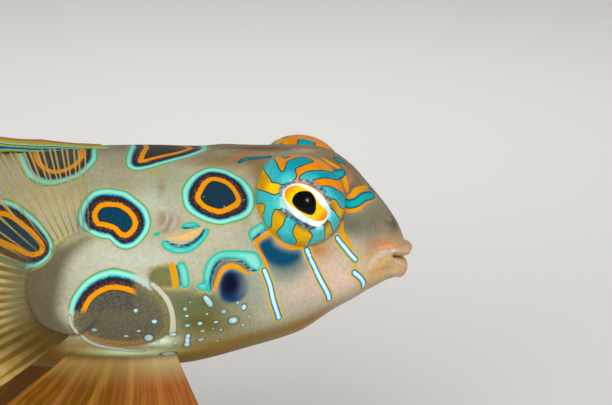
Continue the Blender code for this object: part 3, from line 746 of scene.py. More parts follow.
def paintSpots(points):
    field = np.full(len(points), -1.0)
    tone, fade = np.zeros(len(points)), np.zeros(len(points))
    for centre, normal, outer, ring, spotTone, spotFade in spotPlaces():
        near = np.linalg.norm(points - centre, axis=1) < spotReach
        flat = flatPlace(points[near], centre, normal)
        outside = signedDistance(flat, roundedPath(outer, True))
        within = signedDistance(flat, roundedPath(ring, True))
        between = outside / np.maximum(outside - within, 1e-6)
        found = np.where(within > 0, 1 + within, np.where(outside > 0, between, outside))
        better = found > field[near]
        places = np.flatnonzero(near)[better]
        field[places] = found[better]
        tone[places] = spotTone
        # The rings of some spots are lost towards the head and the belly
        headward = np.clip((-flat[:, 0] - 0.5) / 1.4, 0, 1)
        downward = np.clip((flat[:, 1] + 0.3) / 1.2, 0, 1)
        fade[places] = (spotFade * np.maximum(headward, downward))[better]
    return field, tone, fade


def bandField(points, places, widths):
    # Signed distance inside a band along places, half as wide there as widths say in pixels
    path = roundedPath(np.column_stack([places, widths / pixelsPerMm]), False)
    far, along = nearestOnPath(points, path[:, :-1])
    return np.interp(along, np.arange(len(path)), path[:, -1]) - far


def paintBands(points, bands, reach=5):
    # Largest signed distance, in millimetres, inside any of the bands
    field = np.full(len(points), -1.0)
    for band in bands:
        rows = np.array(band, float)
        places = skinSurface.underAll(rows[:, :2])
        near = np.linalg.norm(points - roundedPath(places, False).mean(0), axis=1) < reach
        field[near] = np.maximum(field[near], bandField(points[near], places, rows[:, 2]))
    return field


def paintShapes(points, shapes, reach=4.5):
    fields = [outlineField(points, outline, reach) for outline in shapes]
    return np.max([np.full(len(points), -1.0), *fields], axis=0)


def paintLines(points):
    # Sideways from the middle of the nearest light line and past its end, over the line's half width
    across, past = np.full(len(points), 9.0), np.full(len(points), 9.0)
    for line in lightLines.values():
        path = roundedPath(skinSurface.underAll(line), False)
        far, along = nearestOnPath(points, path)
        near = far < np.hypot(across, past)
        start = np.clip(along[near].astype(int), 0, len(path) - 2)
        way = path[start + 1] - path[start]
        way /= np.linalg.norm(way, axis=1)[:, None]
        off = points[near] - path[start]
        run = np.einsum("ij,ij->i", off, way)
        length = np.linalg.norm(path[start + 1] - path[start], axis=1)
        beyond = np.where(start == 0, np.minimum(run, 0), 0.0)
        beyond = np.where(start == len(path) - 2, np.maximum(run - length, 0), beyond)
        side = np.sign(np.cross(way, off)[:, 1])
        across[near] = side * np.sqrt(np.maximum(far[near] ** 2 - beyond ** 2, 0))
        past[near] = np.abs(beyond)
    scale = pixelsPerMm / lightLineHalfWidth
    past[np.abs(across) * scale > 2.6] = 9
    return np.clip(across * scale, -9, 9), np.clip(past * scale, 0, 9)


def paintDots(points):
    field = np.full(len(points), 9.0)
    for x, y, along, above in lightDots:
        place, normal = skinSurface.under(x, y)
        near = np.linalg.norm(points - place, axis=1) < 1
        flat = flatPlace(points[near], place, normal) * pixelsPerMm / [along, above]
        field[near] = np.minimum(field[near], np.hypot(flat[:, 0], flat[:, 1]))
    return field


def blend(colours, colour, share):
    share = share[:, None]
    colours[:] = colours * (1 - share) + np.array(colour) * share


def paintPatches(points, colours):
    for x, y, along, above, colour, strength in softPatches.values():
        place, normal = skinSurface.under(x, y)
        flat = flatPlace(points, place, normal) * pixelsPerMm
        inside = np.exp(-(flat[:, 0] / along) ** 2 - (flat[:, 1] / above) ** 2)
        if along < wholeBack:
            inside *= ramp(*patchEnd, np.linalg.norm(points - place, axis=1))
        blend(colours, colour, strength * inside)


def paintAreas(points, colours):
    for area in areas.values():
        inside = ramp(-area["soft"], area["soft"], outlineField(points, area["outline"]))
        blend(colours, area["colour"], area["strength"] * inside)
    for band, colour, soft, strength in softBands.values():
        blend(colours, colour, strength * ramp(-soft, soft, paintBands(points, [band])))
    # The mouth's inside gets its tone, lightened with painted light against its shadow
    blend(colours, skinTones["insideMouthLightened"], ramp(*mouthRings, skinRing))


def paintSkin(skin):
    points = nearSide(readPoints(skin))
    field, tone, fade = paintSpots(points)
    giveAttribute(skin, "spotField", field)
    giveAttribute(skin, "spotTone", tone)
    giveAttribute(skin, "spotFade", fade)
    giveAttribute(skin, "mintField", paintShapes(points, mintShapes.values()))
    for name, bands in (("tealField", tealBands), ("darkField", darkBands), ("orangeField", orangeBands),
                        ("rustField", rustBands), ("paleField", paleBands)):
        giveAttribute(skin, name, paintBands(points, bands.values()))
    across, past = paintLines(points)
    giveAttribute(skin, "lineAcross", across)
    giveAttribute(skin, "linePast", past)
    giveAttribute(skin, "dotField", paintDots(points))
    colours = np.tile(np.array(skinTones["flank"]), (len(points), 1))
    blend(colours, skinTones["underside"], ramp(*undersideLevels, points[:, 2]))
    paintPatches(points, colours)
    paintAreas(points, colours)
    giveAttribute(skin, "skinTone", colours)


paintSkin(skin)
print("skin markings placed")


# Materials

class Finish:
    # A material whose nodes are added one after another

    def __init__(self, name, roughness, gloss=0.5):
        self.material = bpy.data.materials.new(name)
        self.material.use_nodes = True
        self.nodes = self.material.node_tree.nodes
        self.links = self.material.node_tree.links
        self.shader = self.nodes["Principled BSDF"]
        self.shader.inputs["Roughness"].default_value = roughness
        self.shader.inputs["Specular IOR Level"].default_value = gloss
        self.place = self.node("ShaderNodeTexCoord").outputs["Object"]

    def node(self, kind, **settings):
        made = self.nodes.new(kind)
        for name, value in settings.items():
            setattr(made, name, value)
        return made

    def feed(self, socket, source):
        if isinstance(source, bpy.types.NodeSocket):
            self.links.new(source, socket)
        else:
            socket.default_value = source

    def value(self, name, output="Fac"):
        return self.node("ShaderNodeAttribute", attribute_name=name).outputs[output]

    def math(self, operation, first, second=0.0, clamp=False):
        made = self.node("ShaderNodeMath", operation=operation, use_clamp=clamp)
        self.feed(made.inputs[0], first)
        self.feed(made.inputs[1], second)
        return made.outputs[0]

    def times(self, first, second, clamp=False):
        return self.math("MULTIPLY", first, second, clamp)

    def plus(self, first, second):
        return self.math("ADD", first, second)

    def noise(self, scale, detail=3.0, roughness=0.5, stretch=None, place=None):
        made = self.node("ShaderNodeTexNoise")
        made.inputs["Scale"].default_value = scale
        made.inputs["Detail"].default_value = detail
        made.inputs["Roughness"].default_value = roughness
        if stretch:
            mapping = self.node("ShaderNodeMapping")
            mapping.inputs["Scale"].default_value = stretch
            self.links.new(self.place, mapping.inputs["Vector"])
            self.links.new(mapping.outputs[0], made.inputs["Vector"])
        else:
            self.links.new(place or self.place, made.inputs["Vector"])
        return made.outputs["Fac"]

    def wobble(self, amount, *noise):
        return self.times(self.math("SUBTRACT", self.noise(*noise), 0.5), amount)

    def ramp(self, source, stops):
        made = self.node("ShaderNodeValToRGB")
        stops = [(place, tuple(colour) + (1.0,) * (4 - len(colour))) for place, colour in stops]
        items = made.color_ramp.elements
        while len(items) < len(stops):
            items.new(1.0)
        for item, (place, colour) in zip(items, stops):
            item.position = place
            item.color = colour
        self.links.new(source, made.inputs["Fac"])
        return made.outputs["Color"], made.outputs["Alpha"]

    def mix(self, share, under, over, blend="MIX"):
        made = self.node("ShaderNodeMix", data_type="RGBA", blend_type=blend)
        self.feed(made.inputs[0], share)
        for socket, value in ((made.inputs[6], under), (made.inputs[7], over)):
            self.feed(socket, value if isinstance(value, bpy.types.NodeSocket) else (*value, 1))
        return made.outputs[2]

    def step(self, source, low, high):
        made = self.node("ShaderNodeMapRange", interpolation_type="SMOOTHSTEP")
        self.feed(made.inputs["Value"], source)
        made.inputs["From Min"].default_value = low
        made.inputs["From Max"].default_value = high
        return made.outputs[0]

    def bump(self, height, distance, strength=1.0, before=None):
        made = self.node("ShaderNodeBump")
        made.inputs["Strength"].default_value = strength
        made.inputs["Distance"].default_value = distance
        self.feed(made.inputs["Height"], height)
        if before:
            self.links.new(before, made.inputs["Normal"])
        self.links.new(made.outputs[0], self.shader.inputs["Normal"])
        return made.outputs[0]

    def colour(self, source):
        self.links.new(source, self.shader.inputs["Base Color"])


paint = {
    "mint": (0.20, 0.60, 0.46),
    "paleMint": (0.32, 0.72, 0.56),
    "green": (0.05, 0.36, 0.27),
    "cyan": (0.0, 0.42, 0.46),
    "teal": (0.0, 0.32, 0.34),
    "deepCyan": (0.0, 0.13, 0.24),
    "navy": (0.002, 0.010, 0.04),
    "plum": (0.030, 0.010, 0.014),
    "orange": (0.74, 0.265, 0.0),
    "amber": (0.60, 0.29, 0.0),
    "rust": (0.42, 0.15, 0.06),
    "spotBlue": (0.0, 0.050, 0.105),
    "spotSlate": (0.010, 0.030, 0.045),
    "spotBlack": (0.010, 0.008, 0.006),
    "whiteBlue": (0.62, 0.82, 0.90),
    "skyBlue": (0.08, 0.42, 0.72),
    "edgeGreen": (0.13, 0.26, 0.08),
    "yellowGreen": (0.42, 0.38, 0.10),
}


def spotColours(finish):
    # One ramp across an eye spot, from its thin green hem to the ring, then the core by its tone
    field = finish.value("spotField")
    ragged = finish.math("SUBTRACT", finish.noise(9000, 3, 0.8), 0.5)
    ragged = finish.times(ragged, finish.step(field, 0.35, 0.5))
    ragged = finish.times(ragged, finish.step(field, 1.06, 0.92))
    uneven = finish.wobble(0.07, 900, 2)
    field = finish.plus(finish.plus(field, uneven), finish.times(ragged, 0.42))
    place = finish.math("DIVIDE", finish.plus(field, 0.5), 3.0)
    colour, cover = finish.ramp(place, [
        (0.118, (*paint["yellowGreen"], 0.0)), (0.146, (*paint["yellowGreen"], 0.7)),
        (0.160, (*paint["edgeGreen"], 1.0)), (0.176, (*paint["green"], 1.0)),
        (0.200, (*paint["mint"], 1.0)), (0.240, (*paint["paleMint"], 1.0)),
        (0.280, (*paint["mint"], 1.0)), (0.308, (*paint["cyan"], 1.0)),
        (0.330, (*paint["deepCyan"], 1.0)), (0.350, (*paint["plum"], 1.0)),
        (0.488, (*paint["plum"], 1.0)), (0.503, (*paint["orange"], 1.0)),
        (0.580, (*paint["orange"], 1.0)), (0.594, (*paint["spotBlack"], 1.0))])
    tone = finish.value("spotTone")
    core, _ = finish.ramp(tone, [
        (0.0, paint["spotBlue"]), (0.3, paint["spotSlate"]), (0.55, (0.125, 0.112, 0.082)),
        (0.85, (0.035, 0.030, 0.018)), (1.0, paint["spotBlack"])])
    grain = finish.step(finish.noise(9000, 3, 0.7), 0.4, 0.62)
    core = finish.mix(finish.times(grain, 0.5), core, paint["spotBlack"])
    depth = finish.step(place, 0.588, 0.612)
    grainy = finish.times(finish.step(place, 0.36, 0.49), finish.step(place, 0.51, 0.49))
    speckle = finish.times(finish.step(finish.noise(8000, 3, 0.8), 0.46, 0.62), grainy)
    colour = finish.mix(finish.times(speckle, 0.8), colour, (0.17, 0.11, 0.095))
    colour = finish.mix(depth, colour, core)
    # Where the rings are lost only a brown field with a thin yellow hem is left
    lost = finish.value("spotFade")
    plain = finish.mix(finish.step(place, 0.30, 0.62), (0.21, 0.19, 0.07), (0.125, 0.112, 0.072))
    plain = finish.mix(finish.times(grain, 0.4), plain, (0.04, 0.03, 0.015))
    rim = finish.step(place, 0.345, 0.325)
    whitish = finish.times(finish.times(rim, finish.step(lost, 0.0, 0.4)), 0.8)
    colour = finish.mix(whitish, colour, (0.47, 0.50, 0.42))
    lostRings = finish.step(lost, 0.04, 0.36)
    lostRim = finish.step(lost, 0.66, 0.92)
    lostInside = finish.times(finish.math("SUBTRACT", 1.0, rim), lostRings)
    share = finish.plus(finish.times(rim, lostRim), lostInside)
    return finish.mix(share, colour, plain), cover


def skinFinish():
    finish = Finish("mottledSkin", 0.45, 0.1)
    tone = finish.value("skinTone", "Color")
    coarse, fine = finish.noise(420, 4, 0.6), finish.noise(5200, 4, 0.7)
    shade, _ = finish.ramp(coarse, [(0.3, (0.88, 0.88, 0.86)), (0.7, (1.08, 1.07, 1.06))])
    tone = finish.mix(1.0, tone, shade, "MULTIPLY")
    grain, _ = finish.ramp(fine, [(0.35, (0.76, 0.74, 0.72)), (0.5, (1, 1, 1)), (0.66, (1.2, 1.2, 1.2))])
    tone = finish.mix(0.45, tone, grain, "MULTIPLY")

    spots, spotCover = spotColours(finish)
    tone = finish.mix(spotCover, tone, spots)

    # Markings of the skin over its tone, each with a slightly uneven edge
    ripple = finish.wobble(0.05, 1500, 2)
    rough = finish.wobble(0.10, 7000, 2, 0.7)
    rust = finish.plus(finish.value("rustField"), ripple)
    tone = finish.mix(finish.times(finish.step(rust, -0.09, 0.06), 0.9), tone, paint["rust"])

    # Pale bands: pale lines of the low spot, partly painted glints along its hem
    pale = finish.plus(finish.value("paleField"), ripple)
    tone = finish.mix(finish.times(finish.step(pale, -0.10, -0.03), 0.6), tone, (0.07, 0.11, 0.08))
    tone = finish.mix(finish.step(pale, -0.05, 0.03), tone, (0.50, 0.49, 0.36))

    mint = finish.plus(finish.value("mintField"), ripple)
    halo = finish.times(finish.step(mint, -0.13, -0.05), 0.55)
    tone = finish.mix(halo, tone, paint["yellowGreen"])
    sea, _ = finish.ramp(finish.times(mint, 4.0, True), [
        (0.0, paint["green"]), (0.16, (0.0, 0.40, 0.38)), (0.5, (0.10, 0.51, 0.42)),
        (0.95, (0.22, 0.62, 0.50))])
    tone = finish.mix(finish.step(mint, -0.025, 0.01), tone, sea)

    dark = finish.plus(finish.value("darkField"), rough)
    tone = finish.mix(finish.step(dark, -0.05, 0.03), tone, (0.0, 0.055, 0.12))

    orange = finish.plus(finish.value("orangeField"), ripple)
    warm, _ = finish.ramp(finish.noise(700, 2), [(0.35, paint["amber"]), (0.65, paint["orange"])])
    tone = finish.mix(finish.step(orange, -0.025, 0.025), tone, warm)

    teal = finish.plus(finish.value("tealField"), ripple)
    tone = finish.mix(finish.step(teal, -0.06, -0.03), tone, (0.0, 0.05, 0.09))
    sea, _ = finish.ramp(finish.times(teal, 5.0, True), [
        (0.0, paint["deepCyan"]), (0.35, paint["teal"]), (1.0, (0.0, 0.38, 0.37))])
    tone = finish.mix(finish.step(teal, -0.01, 0.02), tone, sea)

    across = finish.value("lineAcross")
    past = finish.value("linePast")
    line = finish.math("SQRT", finish.plus(finish.times(across, across), finish.times(past, past)))
    lineColour, lineCover = finish.ramp(finish.math("DIVIDE", line, 2.0, True), [
        (0.12, (*paint["whiteBlue"], 1.0)), (0.24, (0.30, 0.66, 0.88, 1.0)),
        (0.34, (*paint["skyBlue"], 1.0)), (0.43, (0.0, 0.07, 0.20, 1.0)),
        (0.51, (0.02, 0.10, 0.10, 1.0)), (0.58, (0.52, 0.36, 0.01, 1.0)),
        (0.74, (0.58, 0.38, 0.02, 0.9)), (0.95, (0.54, 0.36, 0.10, 0.0))])
    tone = finish.mix(lineCover, tone, lineColour)

    dot = finish.plus(finish.value("dotField"), finish.times(ripple, 6.0))
    dotColour, dotCover = finish.ramp(finish.math("DIVIDE", dot, 2.0, True), [
        (0.22, (0.58, 0.74, 0.76, 1.0)), (0.40, (0.30, 0.52, 0.54, 1.0)),
        (0.52, (0.03, 0.10, 0.11, 1.0)), (0.60, (0.03, 0.08, 0.07, 0.8)), (0.74, (0.05, 0.10, 0.08, 0.0))])
    faint = finish.times(finish.step(finish.noise(1100, 2), 0.36, 0.58), 0.5)
    dotCover = finish.times(dotCover, finish.plus(faint, 0.5))
    tone = finish.mix(dotCover, tone, dotColour)
    finish.colour(tone)
    pores = finish.bump(finish.noise(4200, 4, 0.7), 0.00003, 0.5)
    finish.bump(coarse, 0.0001, 0.4, pores)
    return finish.material


skin.data.materials.append(skinFinish())
writePoints(skin, settle(readPoints(skin)))
skin.data.shade_smooth()
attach(skin, "root")
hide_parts("head", "trunk", "tail_body", "tail_peduncle")
print("skin finished")

# Eyeballs: outlines in pixels of the stripes, the white ring, the gold in it and the pupil
eyeStripes = {
    "upperPair": [(263.4, 166.9), (266.8, 173.4), (270.4, 178), (271.8, 181.6), (277.5, 182.5),
        (282, 184), (289, 182.6), (295.4, 177.4), (294.9, 171.6), (295.1, 168), (300, 165.9),
        (306.4, 163.4), (312.9, 161.6), (309.3, 158.7), (304.3, 157.3), (300, 157.3), (294.3, 158.7),
        (290, 160.9), (287.9, 162.6), (286.4, 165.9), (285, 170.1), (282.5, 172.6), (280.7, 171.6),
        (278.6, 168.7), (276.4, 163.7), (274.6, 160.9), (272.9, 158.7), (267.9, 160.9), (264.3, 164.4)],
    "topSpot": [(282, 156.4), (285, 155.4), (288.6, 156.4), (285.4, 158)],
    "upperRight": [(300, 178), (301.4, 175.9), (305.7, 173), (311.4, 171.2), (317.1, 170.9), (324.3, 171),
        (331.4, 172.6), (333.2, 172.4), (334.3, 170.1), (335.7, 169.4), (340.7, 172.3), (342.1, 175.9),
        (340.7, 178.7), (335.7, 179.4), (330, 178), (324.3, 177.3), (318.6, 178), (312.9, 179.4),
        (312.1, 181.6), (306.4, 180.9), (301.4, 179.4)],
    "right": [(321.4, 188), (324.3, 186.6), (330, 187.3), (335.7, 189.4), (341.4, 193), (345, 196.6),
        (347, 200.9), (346.4, 207.3), (341.4, 207.3), (338.6, 203.7), (335.7, 199.4), (331.4, 198),
        (328.6, 198.7), (326.4, 194.4), (322.9, 190.9)],
    "left": [(254, 189.6), (260.7, 190.9), (266.4, 192.6), (271.4, 194.4), (275, 195.5), (279.6, 193.8),
        (281.3, 197.3), (283, 203.3), (284.7, 208.3), (279.6, 209.2), (275, 208.7), (272.9, 212.3),
        (271.4, 216.6), (271.1, 225.1), (269.3, 227.3), (266.4, 225.1), (264.3, 220.9), (262.5, 215.9),
        (264.3, 212.3), (265.4, 207.3), (263.6, 203.7), (260.7, 202.6), (253, 203)],
    "mushroom": [(288.6, 216.2), (292.9, 217.3), (296.4, 219.4), (295, 223.7), (292.9, 228),
        (292.1, 232.3), (292.9, 235.9), (295.7, 240.1), (295, 243.7), (290, 244.4), (285.7, 243),
        (281.4, 239.4), (278.2, 235.1), (277.1, 232.3), (280, 229.4), (282.1, 227.3), (284.3, 223.7),
        (285.7, 219.4)],
    "lower": [(310, 230.9), (314.3, 228.4), (318.6, 226.7), (322.1, 225.3), (323.9, 226.6),
        (324.3, 230.9), (323.6, 238.7), (318.6, 242.3), (314.3, 245.1), (311.4, 248), (311.4, 257),
        (305.7, 257), (305.7, 248), (308.6, 244.4), (310.7, 240.1), (312.9, 235.9), (311.4, 232.3)],
    "lowerRight": [(329, 209.1), (332.9, 210.9), (336.4, 215.1), (340, 220.1), (340.4, 225.1),
        (337.9, 229.4), (335, 234), (333.2, 233.3), (332.1, 227.3), (330.6, 222.3), (328, 219.4),
        (328.7, 214.4)],
}
irisShapes = {
    "white": [(279.4, 197), (280.8, 203), (283.9, 207.6), (288.9, 211.4), (294.6, 216.2), (300.2, 220.4),
        (305.9, 223.2), (311.6, 225.5), (318.6, 226.8), (322.3, 224.6), (325.7, 221.2), (328.9, 216.4),
        (330.6, 211), (329.5, 206.9), (325.3, 199.7), (321, 194.1), (315.4, 189.8), (309.1, 186.3),
        (302.8, 184.1), (297.1, 183), (291.2, 183.8), (285.9, 186), (281.6, 190.3)],
    "gold": [(284.6, 193.7), (285.7, 190.1), (290, 186.9), (295.7, 185.3), (301.4, 186.8), (307.1, 189.3),
        (312.5, 193), (316.1, 197.8), (318.8, 202.9), (323.6, 207.6), (326.6, 210.6), (326.9, 215.9),
        (324.3, 219.7), (318.6, 221.2), (312.9, 219.7), (307.1, 216.9), (301.4, 213.3), (295.7, 209),
        (290, 204.7), (285.7, 199.9)],
    "pupil": [(292.1, 200.1), (294.3, 195.1), (299.3, 191.6), (305.7, 190.9), (310.7, 192.3),
        (314.3, 196.6), (316.1, 202.3), (315.7, 210.1), (312.9, 214.4), (309.3, 214.8), (302.9, 212.3),
        (297.1, 208.7), (292.9, 203.7)],
    "yellow": [(267, 190), (269.5, 184.5), (273, 182.6), (279, 184), (281, 189), (278.6, 194.4),
        (272, 194.4)],
}
# Bands beside the white ring, with half their width in pixels: speckled dark haze and a green tint
eyeBands = {
    "hazeField": {
        "upperRight": [(297, 180.6, 0.6), (304, 180.8, 1.6), (312, 183.8, 2.3), (320, 188.6, 2.3),
            (326.4, 195.6, 2.3), (330.4, 203, 1.4)],
        "upperLeft": [(280.6, 195, 1.2), (281.6, 189.4, 2.2), (285.6, 185.4, 2.2), (291, 183, 1.7),
            (296, 182, 0.8)],
        "lowerLeft": [(281, 209, 1.2), (288, 213.6, 2.3), (295, 219.6, 2.2), (302, 223.6, 2.6),
            (309, 227, 2.2), (314, 228.6, 1.0)]},
    "tintField": {"left": [(280.4, 192, 1.4), (281, 197, 2.6), (283.4, 203, 2.4), (287, 208, 1.2)]},
}


def makeEyeball(name, sign):
    bpy.ops.object.select_all(action="DESELECT")
    bpy.ops.mesh.primitive_uv_sphere_add(segments=eye["around"], ring_count=eye["rings"], radius=1)
    ball = bpy.context.active_object
    ball.name = ball.data.name = name
    points = readPoints(ball)
    # The poles turn from up and down to out and in along the gaze
    local = np.column_stack([points[:, 0], points[:, 2], points[:, 1] * -1])
    off = np.hypot(local[:, 0] * eye["radii"][0], local[:, 2] * eye["radii"][2])
    local = local * eye["radii"]
    local[:, 1] += np.where(local[:, 1] > 0, eye["corneaRise"] * ramp(1.3, 0.4, off), 0)
    if sign > 0:
        local[:, 0] *= -1
    # A little fuller towards the upper rear
    turned = np.arctan2(local[:, 2], local[:, 0]) - eye["swellAt"]
    swell = eye["swell"][sign] * np.exp(-(turned / eye["swellWidth"]) ** 2) * ramp(0.9, 2.1, off)
    local[:, 0] *= 1 + swell
    local[:, 2] *= 1 + swell
    writePoints(ball, eyeCentre(sign) + local @ eyeAxes(sign).T)
    turnNormalsOut()
    return ball


def eyeChart(points):
    # Flattens the ball round its gaze, keeping the distance from the middle of the iris
    along, out, above = ((points - eyeCentre(-1)) @ eyeAxes(-1) / eye["radii"]).T
    off = np.maximum(np.hypot(along, above), 1e-6)
    spread = np.arctan2(off, out) / off * eye["radii"][0]
    return np.column_stack([along * spread, above * spread])


def chartField(chart, outline, surface):
    return signedDistance(chart, roundedPath(eyeChart(surface.underAll(outline)), True))


def paintEyeball(ball, surface):
    chart = eyeChart(nearSide(readPoints(ball)))
    for name, outline in irisShapes.items():
        giveAttribute(ball, name + "Field", chartField(chart, outline, surface))
    stripes = np.max([chartField(chart, outline, surface) for outline in eyeStripes.values()], axis=0)
    # Behind what the camera sees, the stripes run on towards the socket
    tilt = np.hypot(chart[:, 0], chart[:, 1])
    runOn = (np.cos(np.arctan2(chart[:, 1], chart[:, 0]) * 8 + 1.33) - 0.1) * 0.3
    behind = ramp(3.68, 3.9, tilt + 0.45 * np.minimum(chart[:, 0], 0) / np.maximum(tilt, 1e-6))
    giveAttribute(ball, "cyanField", stripes * (1 - behind) + runOn * behind)
    for name, bands in eyeBands.items():
        fields = [np.full(len(chart), -1.0)]
        for rows in map(np.array, bands.values()):
            fields.append(bandField(chart, eyeChart(surface.underAll(rows[:, :2])), rows[:, 2]))
        giveAttribute(ball, name, np.max(fields, axis=0))
    giveAttribute(ball, "lowShare", ramp(0.5, -0.7, chart[:, 1]))
    giveAttribute(ball, "leftShare", ramp(-0.7, -2.2, chart[:, 0]))
    giveAttribute(ball, "endShare", ramp(0.75, 1.25, np.abs(chart @ [0.77, -0.64] - 0.15)))


def eyeFinish():
    finish = Finish("stripedEye", 0.12, 0.15)
    low = finish.value("lowShare")
    left = finish.value("leftShare")
    white = finish.value("whiteField")
    ground = finish.mix(finish.math("MAXIMUM", low, left), (0.74, 0.235, 0.0), (0.66, 0.355, 0.0))
    yellow = finish.step(finish.value("yellowField"), -0.3, 0.2)
    ground = finish.mix(yellow, ground, (0.80, 0.52, 0.0))
    streak = finish.noise(1800, 3, 0.6, (1, 1, 0.35))
    shade, _ = finish.ramp(streak, [(0.3, (0.66, 0.62, 0.5)), (0.6, (1.08, 1.08, 1.0))])
    ground = finish.mix(0.6, ground, shade, "MULTIPLY")
    # Painted shade: dark olive streaks low on the ball, just outside the white ring
    shadeBelowRing = finish.times(finish.step(white, -0.62, -0.12), low)
    shadeBelowRing = finish.times(shadeBelowRing, finish.step(streak, 0.32, 0.55))
    ground = finish.mix(finish.times(shadeBelowRing, 0.9), ground, (0.05, 0.06, 0.02))
    ripple = finish.wobble(0.05, 1900, 2)
    cyan = finish.plus(finish.value("cyanField"), ripple)
    tone = finish.mix(finish.step(cyan, -0.085, -0.05), ground, paint["navy"])
    bright = finish.times(finish.math("MAXIMUM", low, left), 0.75)
    bright = finish.math("MAXIMUM", bright, finish.step(white, -1.0, -0.25))
    glow = finish.mix(bright, (0.0, 0.30, 0.38), (0.06, 0.50, 0.50))
    sheen, _ = finish.ramp(finish.noise(2600, 4, 0.7, (1, 1, 0.3)), [
        (0.35, (0.80, 0.84, 0.86)), (0.65, (1.15, 1.12, 1.08))])
    glow = finish.mix(1.0, glow, sheen, "MULTIPLY")
    near = finish.times(finish.step(white, -0.35, -0.02), finish.step(streak, 0.40, 0.6))
    glow = finish.mix(finish.times(near, 0.8), glow, (0.40, 0.76, 0.78))
    tone = finish.mix(finish.step(cyan, -0.035, 0.02), tone, glow)
    cloudy = finish.step(finish.noise(1500, 3), 0.42, 0.62)
    bluish = finish.mix(cloudy, (0.80, 0.84, 0.82), (0.42, 0.70, 0.74))
    pearl = finish.mix(low, (0.86, 0.83, 0.74), bluish)
    tint = finish.step(finish.value("tintField"), -0.08, 0.05)
    pearl = finish.mix(tint, pearl, (0.33, 0.62, 0.58))
    tone = finish.mix(finish.step(white, -0.02, 0.02), tone, pearl)
    ragged = finish.wobble(0.2, 5000, 3, 0.8)
    haze = finish.plus(finish.value("hazeField"), ragged)
    speck, _ = finish.ramp(finish.noise(4600, 3, 0.7), [
        (0.38, (0.010, 0.03, 0.08)), (0.50, (0.04, 0.14, 0.22)), (0.60, (0.20, 0.32, 0.42)),
        (0.68, (0.62, 0.70, 0.76))])
    tone = finish.mix(finish.times(finish.step(haze, -0.11, 0.07), 0.9), tone, speck)
    ends = finish.value("endShare")
    gold = finish.mix(ends, (0.84, 0.54, 0.0), (0.80, 0.20, 0.0))
    wisps, _ = finish.ramp(finish.noise(3300, 4, 0.7), [(0.3, (0.80, 0.68, 0.5)), (0.6, (1.05, 1.05, 1.0))])
    gold = finish.mix(0.6, gold, wisps, "MULTIPLY")
    tone = finish.mix(finish.step(finish.value("goldField"), -0.03, 0.02), tone, gold)
    pupil = finish.value("pupilField")
    tone = finish.mix(finish.step(pupil, -0.015, 0.015), tone, (0.0, 0.0, 0.0))
    finish.colour(tone)
    return finish.material


eyeMaterial = eyeFinish()
nearBall = makeEyeball("rightEyeball", -1)
farBall = makeEyeball("leftEyeball", 1)
ballSurface = Surface(nearBall)
for ball, node in ((nearBall, "eye_right"), (farBall, "eye_left")):
    paintEyeball(ball, ballSurface)
    ball.data.materials.append(eyeMaterial)
    writePoints(ball, settle(readPoints(ball)))
    ball.data.shade_smooth()
    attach(ball, "root")
    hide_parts(node)
print("eyes made")

# Fins: rays, the lie of their roots, directions and lengths, as in the solids
finPlans = {
    "pectoral": {"rays": 27, "rows": 44,
                 "roots": ([(0, 16.3), (0.22, 17.7), (0.5, 19.3), (0.7, 19.7), (0.85, 19.3), (1, 17.4)],
                           [(0, 2.5), (0.22, 1.9), (0.5, 0.6), (0.7, -1.0), (0.85, -2.2), (1, -3.0)]),
                 "angles": [(0, 90), (0.22, 113), (0.35, 126), (0.5, 150), (0.65, 170), (0.8, 190),
                            (1, 212)],
                 "heldAngles": [(0, 168), (0.3, 173), (0.6, 180), (1, 196)],
                 "flare": [(0, 12), (0.5, 24), (1, 30)],
                 "lengths": [(0, 4.3), (0.1, 4.9), (0.22, 5.6), (0.4, 7.8), (0.55, 9.6), (0.75, 10.2),
                             (1, 5.8)],
                 "scallop": 0.04, "cup": 0.5, "sink": 0.5},
    "pelvic": {"rays": 6, "rows": 44, "roots": ([(0, 12.1), (1, 17.3)], [(0, -3.9), (1, -4.15)]),
               "angles": [(0, 300), (0.35, 270), (0.7, 240), (1, 214)],
               "heldAngles": [(0, 266), (0.35, 250), (0.7, 236), (1, 217)],
               "flare": [(0, 38), (0.5, 34), (1, 22)],
               "lengths": [(0, 8.6), (0.3, 10.6), (0.7, 10.6), (1, 8.8)],
               "scallop": 0.08, "cup": 0.4, "sink": 0.5},
    "firstDorsal": {"rays": 4, "rows": 20, "edge": 1, "lower": 0.5, "roots": [(0, 14.4), (1, 22.0)],
                    "leans": [(0, 66), (1, 58)], "lengths": [(0, 1.7), (0.5, 2.6), (1, 4.2)],
                    "scallop": 0.08, "wave": 0.0, "sink": 0.5},
    "secondDorsal": {"rays": 8, "rows": 40, "edge": 1, "lower": 0, "roots": [(0, 26.2), (1, 38.4)],
                     "leans": [(0, 18), (0.5, 34), (1, 52)],
                     "lengths": [(0, 5.6), (0.25, 7.4), (0.7, 7.2), (1, 5.6)],
                     "scallop": 0.06, "wave": 0.8, "sink": 0.5},
    "anal": {"rays": 7, "rows": 34, "edge": -1, "lower": 0, "roots": [(0, 29.5), (1, 38.9)],
             "leans": [(0, 22), (0.5, 36), (1, 50)],
             "lengths": [(0, 3.6), (0.3, 4.9), (0.7, 5.0), (1, 4.2)],
             "scallop": 0.07, "wave": 0.5, "sink": 0.5},
    "caudal": {"rays": 10, "rows": 50, "halfRoot": 1.95, "halfSpread": 24, "scallop": 0.03,
               "wave": 0.5, "sink": 0.5},
}


def flankReach(back, level):
    top, bottom, width, widest, fullness = (smoothCurve(fish[name], back) for name in
                                            ("back", "belly", "halfWidth", "widestLevel", "fullness"))
    reach = np.where(level > widest, top - widest, bottom + widest)
    share = np.minimum(np.abs(level - widest) / reach, 1)
    return width * (1 - share ** fullness) ** (1 / fullness)


